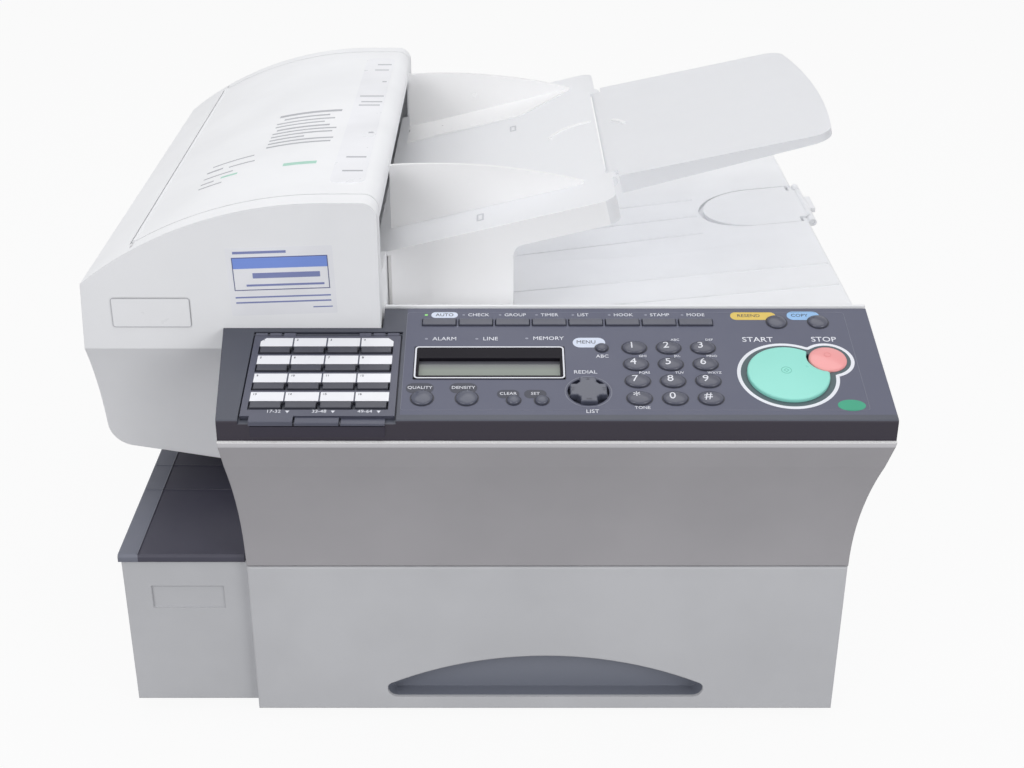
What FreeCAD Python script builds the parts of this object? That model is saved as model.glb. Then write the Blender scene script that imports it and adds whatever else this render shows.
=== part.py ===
import FreeCAD, Part
import Sketcher
import os

# Fax machine with a paper cassette, a sheet-feed scanner tower and an output tray on top.
# Places are measured from the cassette front: x from its middle, y back from its face, z up from its lower
# edge.
# X(), Y() and Z() carry them to the part's own frame, whose origin is the middle of its footprint on the
# table.

doc = FreeCAD.newDocument("fax_machine")
sheet = doc.addObject("Spreadsheet::Sheet", "sizes")

SIZES = {
    # Main body
    "body_width": 344.0,
    "body_depth": 412.0,
    "foot_height": 5.0,
    "wall": 3.0,
    "skin": 2.5,
    "seam": 1.0,
    "slip": 0.4,
    "fit": 0.05,
    "overrun": 30.0,
    "frame_setback": 12.0,
    "shell_height": 90.6,
    "shell_depth": 79.0,
    "flare": 19.5,
    "flare_left": 6.3,
    "flare_right": 13.0,
    "kink_share": 0.73,
    "lip_height": 18.0,
    "lip_band": 2.5,
    "side_height": 109.5,
    # Cassette
    "drawer_height": 101.0,
    "drawer_thickness": 6.0,
    "bin_reach": 73.0,
    "bin_clear": 114.0,
    "bin_height": 98.2,
    "bin_rear_height": 82.0,
    "lid_thickness": 4.4,
    "lid_overhang": 1.5,
    "grip_half": 94.0,
    "grip_low": 9.0,
    "grip_end": 9.0,
    "grip_rise": 21.0,
    "grip_depth": 11.0,
    "grip_round": 6.0,
    "grip_tip": 4.0,
    "recess_width": 42.0,
    "recess_height": 15.0,
    "recess_depth": 1.0,
    "recess_top": 84.0,
    "lift_length": 194.0,
    "lift_margin": 14.0,
    "lift_thickness": 1.6,
    "lift_pin": 1.5,
    "lift_lug": 7.0,
    # Control panel
    "panel_edge": 13.4,
    "panel_setback": 2.0,
    "panel_splay": 6.8,
    "panel_nose": 4.64,
    "panel_tilt": 14.0,
    "panel_length": 93.0,
    "panel_round": 2.0,
    "key_gap": 0.35,
    "key_base": 4.2,
    "key_flange": 0.9,
    "flange_height": 1.1,
    "board_drop": 9.0,
    "board_thickness": 1.6,
    "post_radius": 3.0,
    "key_rise": 2.2,
    "key_soft": 0.8,
    "keypad_x": 48.4,
    "keypad_y": 56.7,
    "keypad_pitch_x": 19.3,
    "keypad_pitch_y": 14.5,
    "keypad_half_x": 6.7,
    "keypad_half_y": 5.4,
    "function_x": -71.4,
    "function_y": 76.9,
    "function_pitch": 21.0,
    "function_width": 19.0,
    "function_depth": 5.6,
    "touch_x": -161.5,
    "touch_y": 5.2,
    "touch_pitch_x": 18.95,
    "touch_pitch_y": 15.7,
    "touch_width": 16.6,
    "touch_depth": 4.8,
    "touch_rise": 0.8,
    "start_x": 131.5,
    "start_y": 32.6,
    "start_radius": 22.6,
    "stop_x": 155.3,
    "stop_y": 45.9,
    "stop_radius": 10.6,
    "resend_x": 131.6,
    "resend_y": 80.2,
    "resend_radius": 5.6,
    "copy_x": 155.4,
    "copy_y": 80.2,
    "copy_radius": 5.6,
    "quality_x": -69.2,
    "quality_y": 13.4,
    "quality_radius": 5.9,
    "contrast_x": -45.0,
    "contrast_y": 13.4,
    "contrast_radius": 5.9,
    "clear_x": -19.7,
    "clear_y": 11.6,
    "clear_radius": 3.6,
    "enter_x": -4.5,
    "enter_y": 11.6,
    "enter_radius": 3.6,
    "menu_x": 30.1,
    "menu_y": 56.5,
    "menu_radius": 3.4,
    "pad_x": 21.0,
    "pad_y": 18.9,
    "pad_radius": 11.0,
    "pad_arm": 4.6,
    "pad_hub": 7.7,
    "page_left": 166.0,
    "page_right": 83.2,
    "page_rear": 69.2,
    "page_sink": 2.4,
    "page_floor": 1.2,
    "page_gap": 0.8,
    "page_lift": 0.2,
    "page_thickness": 0.6,
    "page_step": 0.8,
    "page_margin": 1.0,
    "page_rod": 0.6,
    "page_ring": 1.3,
    "ring_length": 7.0,
    "ring_pitch": 8.0,
    "tab_margin": 4.6,
    "tab_thickness": 1.2,
    "tab_drop": 2.5,
    "window_left": 74.5,
    "window_right": 8.7,
    "window_front": 29.6,
    "window_rear": 57.4,
    "window_rise": 0.5,
    "module_depth": 4.6,
    "board_rear": 86.0,
    "board_left_rear": 66.0,
    "post_inset": 10.0,
    "post_rear": 80.0,
    "post_left_rear": 58.0,
    "post_middle_x": 103.0,
    "post_window_x": 79.0,
    "post_window_y": 66.0,
    # Scanner tower
    "tower_overhang": 94.0,
    "tower_right": 95.0,
    "tower_front": 60.0,
    "tower_crease": 211.0,
    "tower_shoulder": 251.0,
    "tower_top": 299.0,
    "tower_crown": 225.0,
    "tower_flat": 30.0,
    "tower_foot": 194.0,
    "tower_floor_left": 138.0,
    "tower_floor_right": 122.0,
    "tower_cove": 22.0,
    "tower_cove_radius": 160.0,
    "tower_round": 16.0,
    "tower_edge": 9.0,
    "tower_batter": 2.0,
    "cover_left": 234.0,
    "cover_front": 75.0,
    "cover_inset_rear": 12.0,
    "cover_lip": 14.0,
    "bead_radius": 2.2,
    "pin_radius": 1.5,
    "lug_width": 7.0,
    # Document tray
    "tray_front": 112.0,
    "tray_inset_rear": 14.0,
    "tray_left": 101.0,
    "tray_joint": 42.0,
    "tray_rest": 247.6,
    "tray_tilt": 13.7,
    "tray_sheet": 2.5,
    "tray_round": 10.0,
    "skirt_depth": 12.5,
    "skirt_lap": 6.0,
    "skirt_cove": 8.0,
    "extension_length": 134.0,
    "extension_tilt": 12.0,
    "extension_inset_front": 40.0,
    "extension_inset_rear": 46.0,
    "extension_skirt": 11.5,
    "extension_thin": 4.6,
    "extension_bow": 660.0,
    "extension_round": 14.0,
    "barrel_radius": 3.0,
    "hinge_gap": 4.3,
    "knuckle": 10.0,
    "guide_left": 94.2,
    "guide_right": 24.0,
    "guide_height": 41.0,
    "guide_tail": 2.2,
    "guide_foot": 40.0,
    "guide_taper": 37.0,
    "guide_arch": 390.0,
    "guide_inset_front": 38.0,
    "guide_inset_rear": 32.5,
    # Exit block and output tray
    "apron_front": 83.0,
    "block_front": 120.0,
    "block_right": 19.0,
    "block_top": 246.5,
    "block_round": 5.0,
    "slot_low": 226.0,
    "slot_height": 11.0,
    "slot_front": 135.0,
    "slot_inset_rear": 62.0,
    "output_left": 200.0,
    "output_right": 220.0,
    "output_thickness": 8.0,
    "rim_height": 229.4,
    "scoop_x": 80.0,
    "scoop_y": 561.0,
    "scoop_radius": 349.0,
    "scoop_depth": 5.0,
    "scoop_end": 150.0,
    "scoop_margin": 15.0,
    "rib_start": 134.2,
    "rib_pitch": 35.0,
    "scoop_rib_start": 245.2,
    "scoop_rib_pitch": 34.2,
    "rib_width": 1.6,
    "rib_rise": 0.6,
    "stopper_y": 286.0,
    "stopper_half": 36.0,
    "stopper_tip": 115.0,
    "stopper_thickness": 3.0,
    "stopper_out": 2.5,
    "stopper_lip": 6.0,
    "stopper_barrel": 2.5,
    # Print engine
    "plate_front": 100.0,
    "plate_clear": 60.0,
    "plate_thickness": 2.0,
    "plate_left": 150.0,
    "plate_right": 162.0,
    "plate_top": 188.0,
    "plate_gap": 0.3,
    "shaft_radius": 3.0,
    "shaft_reach": 4.0,
    "roller_margin": 8.0,
    "drum_z": 135.0,
    "drum_radius": 15.0,
    "fuser_x": 105.0,
    "fuser_low": 123.0,
    "fuser_radius": 14.0,
    "pickup_x": 130.0,
    "pickup_z": 113.0,
    "pickup_radius": 23.0,
    "pickup_front": 185.0,
    "pickup_rear": 255.0,
    "toner_left": 24.0,
    "toner_right": 98.0,
    "toner_low": 112.0,
    "toner_high": 179.5,
    "toner_round": 14.0,
    "laser_left": 80.0,
    "laser_right": 8.0,
    "laser_low": 153.0,
    "laser_high": 186.0,
    "motor_x": 50.0,
    "motor_z": 150.0,
    "motor_radius": 21.0,
    "motor_length": 34.0,
    "mainboard_width": 150.0,
    "mainboard_left": 140.0,
    "mainboard_low": 112.0,
    "mainboard_high": 184.0,
    "mainboard_off": 9.0,
    # Scanner inside
    "feed_x": 150.0,
    "feed_z": 262.0,
    "feed_radius": 10.0,
    "feed_front": 140.0,
    "feed_inset_rear": 72.0,
    "sensor_x": 186.0,
    "sensor_z": 236.0,
    "sensor_width": 18.0,
    "sensor_height": 13.0,
    # Small hardware
    "foot_radius": 9.0,
    "foot_inset_x": 152.0,
    "foot_inset_y": 34.0,
    "boss_radius": 5.0,
    "boss_x": 110.0,
    "boss_inset_front": 90.0,
    "boss_inset_rear": 16.0,
    "screw_radius": 1.6,
    "screw_head": 3.2,
    "screw_head_height": 1.8,
    "screw_length": 14.0,
    "inlet_x": 120.0,
    "inlet_width": 28.0,
    "inlet_height": 21.0,
    "socket_low": 118.0,
    "socket_depth": 17.0,
    "jack_x": 58.0,
    "jack_pitch": 20.0,
    "jack_width": 14.0,
    "jack_height": 13.0,
    "blade_width": 2.0,
    "blade_height": 5.0,
}

for row, (alias, amount) in enumerate(SIZES.items(), start=1):
    sheet.set(f"A{row}", alias)
    sheet.set(f"B{row}", str(amount))
    sheet.setAlias(f"B{row}", alias)
doc.recompute()


class Size:
    """A length worked out from cells of the sheet. Its text is an expression of the document."""

    def __init__(self, text):
        self.text = text

    def __add__(self, other):
        return Size(f"({self.text} + {text_of(other)})")

    def __radd__(self, other):
        return Size(f"({text_of(other)} + {self.text})")

    def __sub__(self, other):
        return Size(f"({self.text} - {text_of(other)})")

    def __rsub__(self, other):
        return Size(f"({text_of(other)} - {self.text})")

    def __mul__(self, other):
        return Size(f"({self.text} * {text_of(other)})")

    def __rmul__(self, other):
        return Size(f"({text_of(other)} * {self.text})")

    def __truediv__(self, other):
        return Size(f"({self.text} / {text_of(other)})")

    def __neg__(self):
        return Size(f"(-1 * {self.text})")


class Cells:
    """Reads like a list of names: S.wall is the cell of the sheet with that alias."""

    def __getattr__(self, alias):
        if alias not in SIZES:
            raise AttributeError(alias)
        return Size(f"sizes.{alias}")


def text_of(size):
    return size.text if isinstance(size, Size) else f"{float(size):.6f}"


def amount_of(size):
    found = sheet.evalExpression(text_of(size))
    return float(getattr(found, "Value", found))


def cosine(angle):
    return Size(f"cos({angle.text})")


def sine(angle):
    return Size(f"sin({angle.text})")


def tangent(angle):
    return Size(f"tan({angle.text})")


S = Cells()
HALF = S.body_width / 2
MIDDLE = (S.tower_overhang - S.flare_right - S.stopper_out - S.stopper_lip) / 2
FACE = (S.flare - S.body_depth) / 2
LOW = -500.0
HIGH = 500.0
NEAR = 0.001


def X(across):
    return MIDDLE + across


def Y(back):
    return FACE + back


def Z(up):
    return S.foot_height + up


def bind(thing, **sizes):
    for name, size in sizes.items():
        thing.setExpression(name, text_of(size))


def place(thing, x, y, z, axis=None, angle=None):
    """Puts an object at a point of the part's frame, turned about an axis by a number or a cell."""
    if axis is not None:
        thing.Placement = FreeCAD.Placement(FreeCAD.Vector(), FreeCAD.Rotation(axis, amount_of(angle)))
        if isinstance(angle, Size):
            thing.setExpression("Placement.Rotation.Angle", angle.text)
    for name, size in zip("xyz", (x, y, z)):
        thing.setExpression(f"Placement.Base.{name}", text_of(size))
    return thing


ACROSS = FreeCAD.Vector(1, 0, 0)
BACK = FreeCAD.Vector(0, 1, 0)


def box(label, x, y, z):
    """A block between two places on each axis."""
    block = doc.addObject("Part::Box", label)
    bind(block, Length=x[1] - x[0], Width=y[1] - y[0], Height=z[1] - z[0])
    return place(block, X(x[0]), Y(y[0]), Z(z[0]))


def rod(label, radius, x, z, y):
    """A round bar that runs back along y."""
    bar = doc.addObject("Part::Cylinder", label)
    bind(bar, Radius=radius, Height=y[1] - y[0])
    return place(bar, X(x), Y(y[0]), Z(z), ACROSS, -90)


def post(label, radius, x, y, z):
    """A round bar that stands along z."""
    bar = doc.addObject("Part::Cylinder", label)
    bind(bar, Radius=radius, Height=z[1] - z[0])
    return place(bar, X(x), Y(y), Z(z[0]))


def arc_between(start, end, radius):
    """The arc from start to end: a positive radius turns to the left, a negative one to the right."""
    chord = end - start
    middle = (start + end) / 2
    side = FreeCAD.Vector(-chord.y, chord.x, 0).normalize()
    rise = (radius ** 2 - (chord.Length / 2) ** 2) ** 0.5
    centre = middle + side * (rise if radius > 0 else -rise)
    circle = Part.Circle(centre, FreeCAD.Vector(0, 0, 1), abs(radius))
    first, last = (start, end) if radius > 0 else (end, start)
    return Part.ArcOfCircle(circle, circle.parameter(first), circle.parameter(last))


def draw(sketch, outline):
    """Draws a closed outline. Each corner is (u, v), or (u, v, radius) where an arc leads to it."""
    corners = [FreeCAD.Vector(amount_of(c[0]), amount_of(c[1]), 0) for c in outline]
    count = len(outline)
    for index, corner in enumerate(outline):
        start, end = corners[index - 1], corners[index]
        if len(corner) == 3:
            sketch.addGeometry(arc_between(start, end, amount_of(corner[2])))
        else:
            sketch.addGeometry(Part.LineSegment(start, end))
    for index, corner in enumerate(outline):
        turns_right = len(corner) == 3 and amount_of(corner[2]) < 0
        following = outline[(index + 1) % count]
        next_turns_right = len(following) == 3 and amount_of(following[2]) < 0
        tail = 1 if turns_right else 2
        head = 2 if next_turns_right else 1
        sketch.addConstraint(Sketcher.Constraint("Coincident", index, tail, (index + 1) % count, head))
        for kind, size, value in (("DistanceX", corner[0], corners[index].x),
                                  ("DistanceY", corner[1], corners[index].y)):
            place_in_list = sketch.addConstraint(Sketcher.Constraint(kind, index, tail, value))
            sketch.setExpression(f"Constraints[{place_in_list}]", text_of(size))
        if len(corner) == 3:
            radius = corner[2] if not turns_right else -corner[2]
            place_in_list = sketch.addConstraint(Sketcher.Constraint("Radius", index, amount_of(radius)))
            sketch.setExpression(f"Constraints[{place_in_list}]", text_of(radius))


def padded(label, plane, outline, depth, rounds=()):
    """A body padded from an outline on one of its planes. rounds pairs corner numbers with a radius."""
    body = doc.addObject("PartDesign::Body", label)
    sketch = body.newObject("Sketcher::SketchObject", label + "_outline")
    support = next(f for f in body.Origin.OriginFeatures if f.Role == plane + "_Plane")
    sketch.AttachmentSupport = [(support, "")]
    sketch.MapMode = "FlatFace"
    draw(sketch, outline)
    pad = body.newObject("PartDesign::Pad", label + "_pad")
    pad.Profile = sketch
    pad.Reversed = plane == "XZ"
    bind(pad, Length=depth)
    body.Tip = pad
    for numbers, radius in rounds:
        doc.recompute()
        tip = body.Tip
        spots = [(amount_of(outline[n][0]), amount_of(outline[n][1])) for n in numbers]
        edges = [f"Edge{i}" for i, edge in enumerate(tip.Shape.Edges, start=1)
                 if any(runs_through(edge, plane, spot) for spot in spots)]
        fillet = body.newObject("PartDesign::Fillet", label + "_round")
        fillet.Base = (tip, edges)
        bind(fillet, Radius=radius)
        body.Tip = fillet
    return body


def runs_through(edge, plane, spot):
    """True where a straight edge along the pad passes through a corner of its outline."""
    flat = {"XY": ("x", "y"), "XZ": ("x", "z"), "YZ": ("y", "z")}[plane]
    ends = [vertex.Point for vertex in edge.Vertexes]
    return len(ends) == 2 and all(
        abs(getattr(end, name) - value) < NEAR for end in ends for name, value in zip(flat, spot))


def prism(label, plane, outline, span, rounds=()):
    """An outline in the XZ, YZ or XY plane carried along the third axis between two places."""
    body = padded(label, plane, outline, span[1] - span[0], rounds)
    if plane == "XZ":
        return place(body, X(0), Y(span[0]), Z(0))
    if plane == "YZ":
        return place(body, X(span[0]), Y(0), Z(0))
    return place(body, X(0), Y(0), Z(span[0]))


def fuse(label, *solids):
    whole = doc.addObject("Part::MultiFuse", label)
    whole.Shapes = list(solids)
    return whole


def cut(label, solid, *tools):
    result = doc.addObject("Part::Cut", label)
    result.Base = solid
    result.Tool = tools[0] if len(tools) == 1 else fuse(label + "_tools", *tools)
    return result


def common(label, one, other):
    result = doc.addObject("Part::Common", label)
    result.Base = one
    result.Tool = other
    return result


def group(label, *solids):
    several = doc.addObject("Part::Compound", label)
    several.Links = list(solids)
    return several


def rounded(label, solid, radius, wanted):
    """Rounds the edges of a solid that the test picks out."""
    doc.recompute()
    result = doc.addObject("Part::Fillet", label)
    result.Base = solid
    size = amount_of(radius)
    picked = [i for i, edge in enumerate(solid.Shape.Edges, start=1) if wanted(edge)]
    result.Edges = [(number, size, size) for number in picked]
    return result


def within(edge, x=None, y=None, z=None):
    """True where all of an edge lies between two places on each axis that is given."""
    room = edge.BoundBox
    for span, least, most, carry in ((x, room.XMin, room.XMax, X), (y, room.YMin, room.YMax, Y),
                                     (z, room.ZMin, room.ZMax, Z)):
        if span is None:
            continue
        if least < amount_of(carry(span[0])) - NEAR or most > amount_of(carry(span[1])) + NEAR:
            return False
    return True


nodes = {}


def node(name, solid):
    """Names a finished sub-part."""
    solid.Label = name
    nodes[name] = solid
    return solid


# Levels and faces that several pieces share
SHELL_LOW = S.drawer_height + S.seam
SHELL_TOP = SHELL_LOW + S.shell_height
EDGE_TOP = SHELL_TOP + S.panel_edge
OUTER = HALF + S.flare_right
LEFT_OUTER = HALF + S.flare_left
COVE_HEIGHT = S.shell_height - S.lip_height
REAR = S.body_depth
INNER_REAR = REAR - S.wall
ENGINE_FLOOR = SHELL_LOW + S.wall
OUTPUT_SLOPE = (S.output_right - S.output_left) / (OUTER + S.block_right)
COVER_REAR = REAR - S.cover_inset_rear
TRAY_REAR = REAR - S.tray_inset_rear
BIN_REAR = REAR - S.bin_clear
PLATE_REAR = REAR - S.plate_clear
BOSS_DEPTHS = (REAR - S.boss_inset_front, REAR - S.boss_inset_rear)


def output_top(across):
    """Height of the output tray's sloped surface at a place across."""
    return S.output_left + (across + S.block_right) * OUTPUT_SLOPE


# Base frame: floor, right wall and rear wall of the cassette bay, open at the front and at the left
def base_frame():
    shell = box("frame_block", (-HALF, HALF), (S.frame_setback, REAR), (0, SHELL_LOW))
    bay = box("frame_bay", (-HALF + S.wall, HALF - S.wall), (LOW, INNER_REAR), (S.wall, HIGH))
    left_way = box("frame_left_way", (LOW, 0), (LOW, BIN_REAR + S.wall),
                   (S.wall, HIGH))
    walls = cut("frame_walls", shell, bay, left_way)
    bosses = []
    bores = []
    for side in (-1, 1):
        for depth in BOSS_DEPTHS:
            across = side * S.boss_x
            bosses.append(post("frame_boss", S.boss_radius, across, depth, (0, SHELL_LOW)))
            bores.append(post("frame_bore", S.screw_radius + S.fit, across, depth,
                              (LOW, S.screw_length + S.slip)))
    return cut("frame", fuse("frame_with_bosses", walls, *bosses), *bores)


node("base_frame", base_frame())


def housing_screws():
    screws = []
    for side in (-1, 1):
        for depth in BOSS_DEPTHS:
            across = side * S.boss_x
            shank = post("screw_shank", S.screw_radius, across, depth,
                         (-S.screw_head_height / 2, S.screw_length))
            head = post("screw_head", S.screw_head, across, depth, (-S.screw_head_height, 0))
            screws.append(fuse("screw", shank, head))
    return group("screws", *screws)


node("housing_screws", housing_screws())


def rubber_feet():
    feet = []
    for side in (-1, 1):
        for depth in (S.foot_inset_y, REAR - S.foot_inset_y):
            feet.append(post("foot", S.foot_radius, side * S.foot_inset_x, depth, (-S.foot_height, 0)))
    return group("feet", *feet)


node("rubber_feet", rubber_feet())


# Flared outlines: upright at the foot, then a cove, then a straight lip that leans out to the panel
def cove(flare):
    """How far out a cove reaches under a lip, and its radius."""
    kink = S.kink_share * flare
    return kink, (COVE_HEIGHT * COVE_HEIGHT + kink * kink) / (2 * kink)


def side_outline(inset, top, left_flare):
    half = HALF - inset
    low = SHELL_LOW + inset
    kink, radius = cove(S.flare_right)
    outer = half + S.flare_right
    outline = [(half, low), (half + kink, SHELL_TOP - S.lip_height, -radius), (outer, SHELL_TOP),
               (outer, top)]
    if left_flare:
        kink, radius = cove(S.flare_left)
        outer = half + S.flare_left
        return outline + [(-outer, top), (-outer, SHELL_TOP), (-half - kink, SHELL_TOP - S.lip_height),
                          (-half, low, -radius)]
    return outline + [(-half, top), (-half, low)]


def front_outline(inset, top, rear):
    low = SHELL_LOW + inset
    kink, radius = cove(S.flare)
    return [(inset, low, -radius), (rear, low), (rear, top), (inset - S.flare, top),
            (inset - S.flare, SHELL_TOP - S.lip_band), (inset - kink, SHELL_TOP - S.lip_height)]


# Front cover: the grey flared skirt under the control panel
def front_cover():
    room = S.overrun
    sides = prism("cover_sides", "XZ", side_outline(0, SHELL_TOP + room, True), (-room, S.shell_depth))
    face = prism("cover_face", "YZ", front_outline(0, SHELL_TOP + room, S.shell_depth),
                 (-OUTER - room, OUTER + room))
    solid = common("cover_solid", sides, face)
    inner_sides = prism("cover_inner_sides", "XZ", side_outline(S.skin, SHELL_TOP + room, True),
                        (-room, S.shell_depth + room))
    inner_face = prism("cover_inner_face", "YZ", front_outline(S.skin, SHELL_TOP + room,
                                                               S.shell_depth + room),
                       (-OUTER - room, OUTER + room))
    hollow = common("cover_hollow", inner_sides, inner_face)
    above = box("cover_above", (LOW, HIGH), (LOW, HIGH), (SHELL_TOP, HIGH))
    return cut("cover", solid, hollow, above)


node("front_cover", front_cover())


# Main housing: the rear body with its engine floor, one flared side and the back wall with socket openings
JACKS = [S.jack_x - S.jack_pitch * place_in_row for place_in_row in range(2)]


def main_housing():
    side_top = SHELL_LOW + S.side_height
    outer = prism("housing_outer", "XZ", side_outline(0, side_top, False), (S.shell_depth, REAR))
    inner = prism("housing_inner", "XZ", side_outline(S.wall, side_top + S.wall, False),
                  (S.shell_depth - S.wall, INNER_REAR))
    step = -S.block_right
    edge = OUTER - S.wall
    drop = S.output_thickness + S.slip
    above = prism("housing_above", "XZ",
                  [(LOW, S.tower_foot), (step, S.tower_foot), (step, output_top(step) - drop),
                   (edge, output_top(edge) - drop), (edge, HIGH), (LOW, HIGH)], (LOW, HIGH))
    slot = box("housing_pickup_slot", (S.pickup_x - S.pickup_radius - S.wall,
                                       S.pickup_x + S.pickup_radius + S.wall),
               (S.pickup_front - S.wall, S.pickup_rear + S.wall), (SHELL_LOW - S.wall, ENGINE_FLOOR + S.wall))
    openings = [slot, above]
    half = S.inlet_width / 2 + S.fit
    openings.append(box("housing_inlet_hole", (S.inlet_x - half, S.inlet_x + half),
                        (INNER_REAR - S.wall, HIGH),
                        (S.socket_low - S.fit, S.socket_low + S.inlet_height + S.fit)))
    for across in JACKS:
        half = S.jack_width / 2 + S.fit
        openings.append(box("housing_jack_hole", (across - half, across + half), (INNER_REAR - S.wall, HIGH),
                            (S.socket_low - S.fit, S.socket_low + S.jack_height + S.fit)))
    return cut("housing", outer, inner, *openings)


node("main_housing", main_housing())


# Rear sockets: a mains inlet with three blades and two line jacks
def rear_sockets():
    span = (REAR - S.socket_depth, REAR)
    inside = (REAR - S.socket_depth + S.wall, HIGH)
    top = S.socket_low + S.inlet_height
    half = S.inlet_width / 2
    block = box("inlet_block", (S.inlet_x - half, S.inlet_x + half), span, (S.socket_low, top))
    mouth = box("inlet_mouth", (S.inlet_x - half + S.wall, S.inlet_x + half - S.wall), inside,
                (S.socket_low + S.wall, top - S.wall))
    pieces = [cut("inlet_shell", block, mouth)]
    for step in (-1, 0, 1):
        across = S.inlet_x + step * S.inlet_width / 4
        middle = S.socket_low + S.inlet_height / 2 + (1 - 2 * abs(step)) * S.blade_height / 4
        pieces.append(box("inlet_blade", (across - S.blade_width / 2, across + S.blade_width / 2),
                          (REAR - S.socket_depth + S.wall / 2, REAR - S.wall),
                          (middle - S.blade_height / 2, middle + S.blade_height / 2)))
    sockets = [fuse("inlet", *pieces)]
    for across in JACKS:
        half = S.jack_width / 2
        block = box("jack_block", (across - half, across + half), span,
                    (S.socket_low, S.socket_low + S.jack_height))
        mouth = box("jack_mouth", (across - half + S.skin, across + half - S.skin), inside,
                    (S.socket_low + S.skin, S.socket_low + S.jack_height - S.skin))
        sockets.append(cut("jack", block, mouth))
    return group("sockets", *sockets)


node("rear_sockets", rear_sockets())


# Cassette: a bin that reaches past the body at the left, its front with a crescent grip, a dark lid and a
# lift plate
BIN_LEFT = -(HALF + S.bin_reach)
BIN_RIGHT = HALF - S.wall - S.seam
BIN_LOW = S.wall + S.slip
BIN_FRONT = S.drawer_thickness
BIN_TOP = BIN_LOW + S.bin_height
BIN_FLOOR = BIN_LOW + S.skin
GRIP_RADIUS = (S.grip_half * S.grip_half + S.grip_rise * S.grip_rise) / (2 * S.grip_rise)
GRIP_BOX_HALF = S.grip_half + S.wall
GRIP_TOP = S.grip_low + S.grip_end + S.grip_rise
LIFT_RIGHT = BIN_RIGHT - S.skin - S.lift_margin / 2
LIFT_LEFT = LIFT_RIGHT - S.lift_length
LIFT_AXIS = BIN_FLOOR + S.lift_lug / 2
LIFT_FRONT = BIN_FRONT + S.grip_depth + S.lift_margin
LIFT_REAR = BIN_REAR - S.lift_margin


def cassette_tray():
    block = box("bin_block", (BIN_LEFT, BIN_RIGHT), (BIN_FRONT, BIN_REAR), (BIN_LOW, BIN_TOP))
    well = box("bin_well", (BIN_LEFT + S.skin, BIN_RIGHT - S.skin), (BIN_FRONT + S.skin, BIN_REAR - S.skin),
               (BIN_FLOOR, HIGH))
    low_rear = box("bin_low_rear", (-HALF, BIN_RIGHT - S.skin), (BIN_REAR - 2 * S.skin, HIGH),
                   (S.bin_rear_height, HIGH))
    grip_way = box("bin_grip_way", (-GRIP_BOX_HALF, GRIP_BOX_HALF), (LOW, BIN_FRONT + 2 * S.skin),
                   (BIN_FLOOR, GRIP_TOP + S.wall))
    recess_left = BIN_LEFT + (S.bin_reach - S.recess_width) / 2
    recess = box("bin_recess", (recess_left, recess_left + S.recess_width), (LOW, BIN_FRONT + S.recess_depth),
                 (S.recess_top - S.recess_height, S.recess_top))
    walls = cut("bin_walls", block, well, low_rear, grip_way, recess)
    lugs = []
    for start in (LIFT_FRONT - S.lift_lug - S.slip, LIFT_REAR + S.slip):
        lugs.append(box("bin_lug", (LIFT_LEFT - S.lift_lug / 2, LIFT_LEFT + S.lift_lug / 2),
                        (start, start + S.lift_lug), (BIN_FLOOR - S.fit, BIN_FLOOR + S.lift_lug)))
    bore = rod("bin_bore", S.lift_pin + S.fit, LIFT_LEFT, LIFT_AXIS,
               (LIFT_FRONT - S.lift_lug - S.seam, LIFT_REAR + S.lift_lug + S.seam))
    return cut("bin", fuse("bin_with_lugs", walls, *lugs), bore)


def cassette_front():
    low, tip = S.grip_low, S.grip_low + S.grip_end
    panel = box("drawer_panel", (-HALF, HALF), (0, S.drawer_thickness), (0, S.drawer_height))
    backing = box("drawer_grip_box", (-GRIP_BOX_HALF + S.slip, GRIP_BOX_HALF - S.slip),
                  (S.drawer_thickness / 2, S.grip_depth + S.skin),
                  (low - S.wall + S.slip, GRIP_TOP + S.wall - S.slip))
    crescent = prism("drawer_crescent", "XZ",
                     [(S.grip_half, low), (S.grip_half, tip), (-S.grip_half, tip, GRIP_RADIUS),
                      (-S.grip_half, low)],
                     (-S.seam, S.grip_depth), [((0, 3), S.grip_round), ((1, 2), S.grip_tip)])
    edged = rounded("drawer_edged", panel, S.skin / 2, lambda edge: within(edge, y=(LOW, 0)))
    return cut("drawer", fuse("drawer_with_box", edged, backing), crescent)


def cassette_cover():
    left, right = BIN_LEFT - S.lid_overhang, -HALF - S.lid_overhang
    block = box("lid_block", (left, right), (BIN_FRONT - S.lid_overhang, BIN_REAR),
                (BIN_TOP, BIN_TOP + S.lid_thickness))
    soft = rounded("lid_round", block, S.lid_thickness / 2 - S.fit,
                   lambda edge: within(edge, y=(LOW, BIN_FRONT)) and within(edge, z=(BIN_TOP + S.seam, HIGH)))
    return soft


def lift_plate():
    low = LIFT_AXIS - S.lift_thickness / 2
    plate = box("lift_sheet", (LIFT_LEFT, LIFT_RIGHT), (LIFT_FRONT, LIFT_REAR), (low, low + S.lift_thickness))
    pin = rod("lift_rod", S.lift_pin, LIFT_LEFT, LIFT_AXIS, (LIFT_FRONT - S.lift_lug, LIFT_REAR + S.lift_lug))
    return fuse("lift", plate, pin)


node("cassette_tray", cassette_tray())
node("cassette_front", cassette_front())
node("cassette_cover", cassette_cover())
node("lift_plate", lift_plate())


# Scanner tower: an arched top, a creased front that coves in below, a foot on the body and an overhang at
# the left
TOWER_LEFT = -(HALF + S.tower_overhang)
CROWN_START = -(S.tower_right + S.tower_flat)
BEAD_DROP = S.wall / 2


def crown_height(across, inset):
    """Height of the arched top, or of a line that lies inset below it, at a place across."""
    run = across - CROWN_START
    radius = S.tower_crown - inset
    return S.tower_top - S.tower_crown + Size(f"sqrt({(radius * radius - run * run).text})")


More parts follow.
